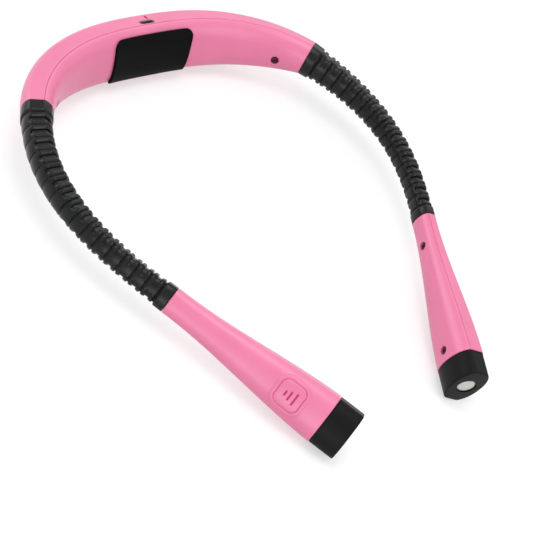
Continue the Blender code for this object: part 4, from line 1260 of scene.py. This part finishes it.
def dress_carried_nodes():
    """Give every CAD node that stays the finish of its slot, and two in the band their own."""
    own = {
        # The socket's own steel tone is painted light on its shaded tongue.
        "usb_c_socket": {"steel": "socket_steel_painted_light"},
        "charge_light_pipe": {"clear_lens": "light_pipe"},
    }
    for name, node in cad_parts.items():
        for slot in node.material_slots:
            label = slot.material.name.split(".")[0]
            label = own.get(name, {}).get(label, label)
            if label in MATERIALS:
                slot.material = MATERIALS[label]


def direct_ray_strength(tree):
    """One for rays from the camera, from gloss and through glass, and zero for the rest."""
    rays = add_node(tree, "LightPath")
    total = rays.outputs["Is Camera Ray"]
    for label in ("Is Glossy Ray", "Is Transmission Ray"):
        add = add_node(tree, "Math")
        add.operation = "MAXIMUM"
        tree.links.new(total, add.inputs[0])
        tree.links.new(rays.outputs[label], add.inputs[1])
        total = add.outputs[0]
    return total


def make_floor():
    """Pale floor that is white where it is lit and keeps the object's shadow."""
    body = bmesh.new()
    size = FLOOR_HALF_SIZE
    corners = [(-size, -size), (size, -size), (size, size), (-size, size)]
    body.faces.new([body.verts.new((x, y, -CLEARANCE)) for x, y in corners])
    material, tree, shader = plain_material(
        "scene_floor", Base_Color=(FLOOR_TONE, FLOOR_TONE, FLOOR_TONE, 1),
        Roughness=FLOOR_ROUGHNESS, Specular_IOR_Level=0, Emission_Color=(1, 1, 1, 1),
    )
    glow = add_node(tree, "Math")
    glow.operation = "MULTIPLY"
    glow.inputs[1].default_value = FLOOR_GLOW
    tree.links.new(direct_ray_strength(tree), glow.inputs[0])
    tree.links.new(glow.outputs[0], shader.inputs["Emission Strength"])
    floor = as_object("floor", body)
    floor.data.materials.append(material)


def make_world():
    world = bpy.data.worlds.new("studio")
    bpy.context.scene.world = world
    world.use_nodes = True
    tree = world.node_tree
    background = tree.nodes["Background"]
    set_inputs(background, Color=(1, 1, 1, 1))
    level = add_node(tree, "MapRange", To_Min=WORLD_LEVEL, To_Max=1)
    tree.links.new(direct_ray_strength(tree), level.inputs["Value"])
    tree.links.new(level.outputs["Result"], background.inputs["Strength"])


def make_lamp_light(name, place, size, power):
    data = bpy.data.lights.new(name, "AREA")
    data.shape = "DISK"
    data.size = size
    data.energy = power
    light = place_object(name, data)
    light.location = place
    light.rotation_euler = (-Vector(place)).to_track_quat("-Z", "Y").to_euler()


def make_camera():
    data = bpy.data.cameras.new("camera")
    data.sensor_width = SENSOR_WIDTH
    data.lens = SENSOR_WIDTH * CAMERA_FOCAL_SHARE
    camera = place_object("camera", data)
    right = Vector(CAMERA_RIGHT).normalized()
    back = right.cross(Vector(CAMERA_UP)).normalized()
    up = back.cross(right)
    turn = Matrix((right, up, back)).transposed()
    camera.matrix_world = Matrix.Translation(CAMERA_PLACE) @ turn.to_4x4()
    bpy.context.scene.camera = camera


MATERIALS = {
    label: make_material("scene_" + label, colour, roughness, **settings)
    for label, (colour, roughness, settings) in FINISHES.items()
}
make_camera()
make_neck_shells()
make_pad()
for side_name, side_sign in SIDES.items():
    make_sleeve(side_name, side_sign)
    make_core_and_lead(side_name, side_sign)
    make_head_shells(side_name, side_sign)
    make_button(side_name, side_sign)
    make_cap(side_name, side_sign)
    make_lamp(side_name, side_sign)
    make_screw(side_name + "_band_screw", side_sign * BAND_SCREW_RUN, "neck")
    for screw_label, screw_share in HEAD_SCREW_SHARES.items():
        screw_run = side_sign * (HEAD_START + screw_share * HEAD_RUN)
        make_screw(f"{side_name}_head_screw_{screw_label}", screw_run, side_name + "_head")
dress_carried_nodes()
make_floor()
make_world()
make_lamp_light("key_light", (-0.15, 0.2, 2.0), 1.1, 9)
make_lamp_light("rim_light", (1.1, 0.9, 1.2), 1.2, 3)
make_lamp_light("back_light", (-0.75, 1.75, 0.65), 1.0, 6)
make_lamp_light("fill_light", (0.3, -1.7, 0.9), 1.4, 6)
make_lamp_light("side_light", (-1.4, -0.8, 0.2), 0.9, 5)
bpy.context.scene.view_settings.view_transform = "Standard"
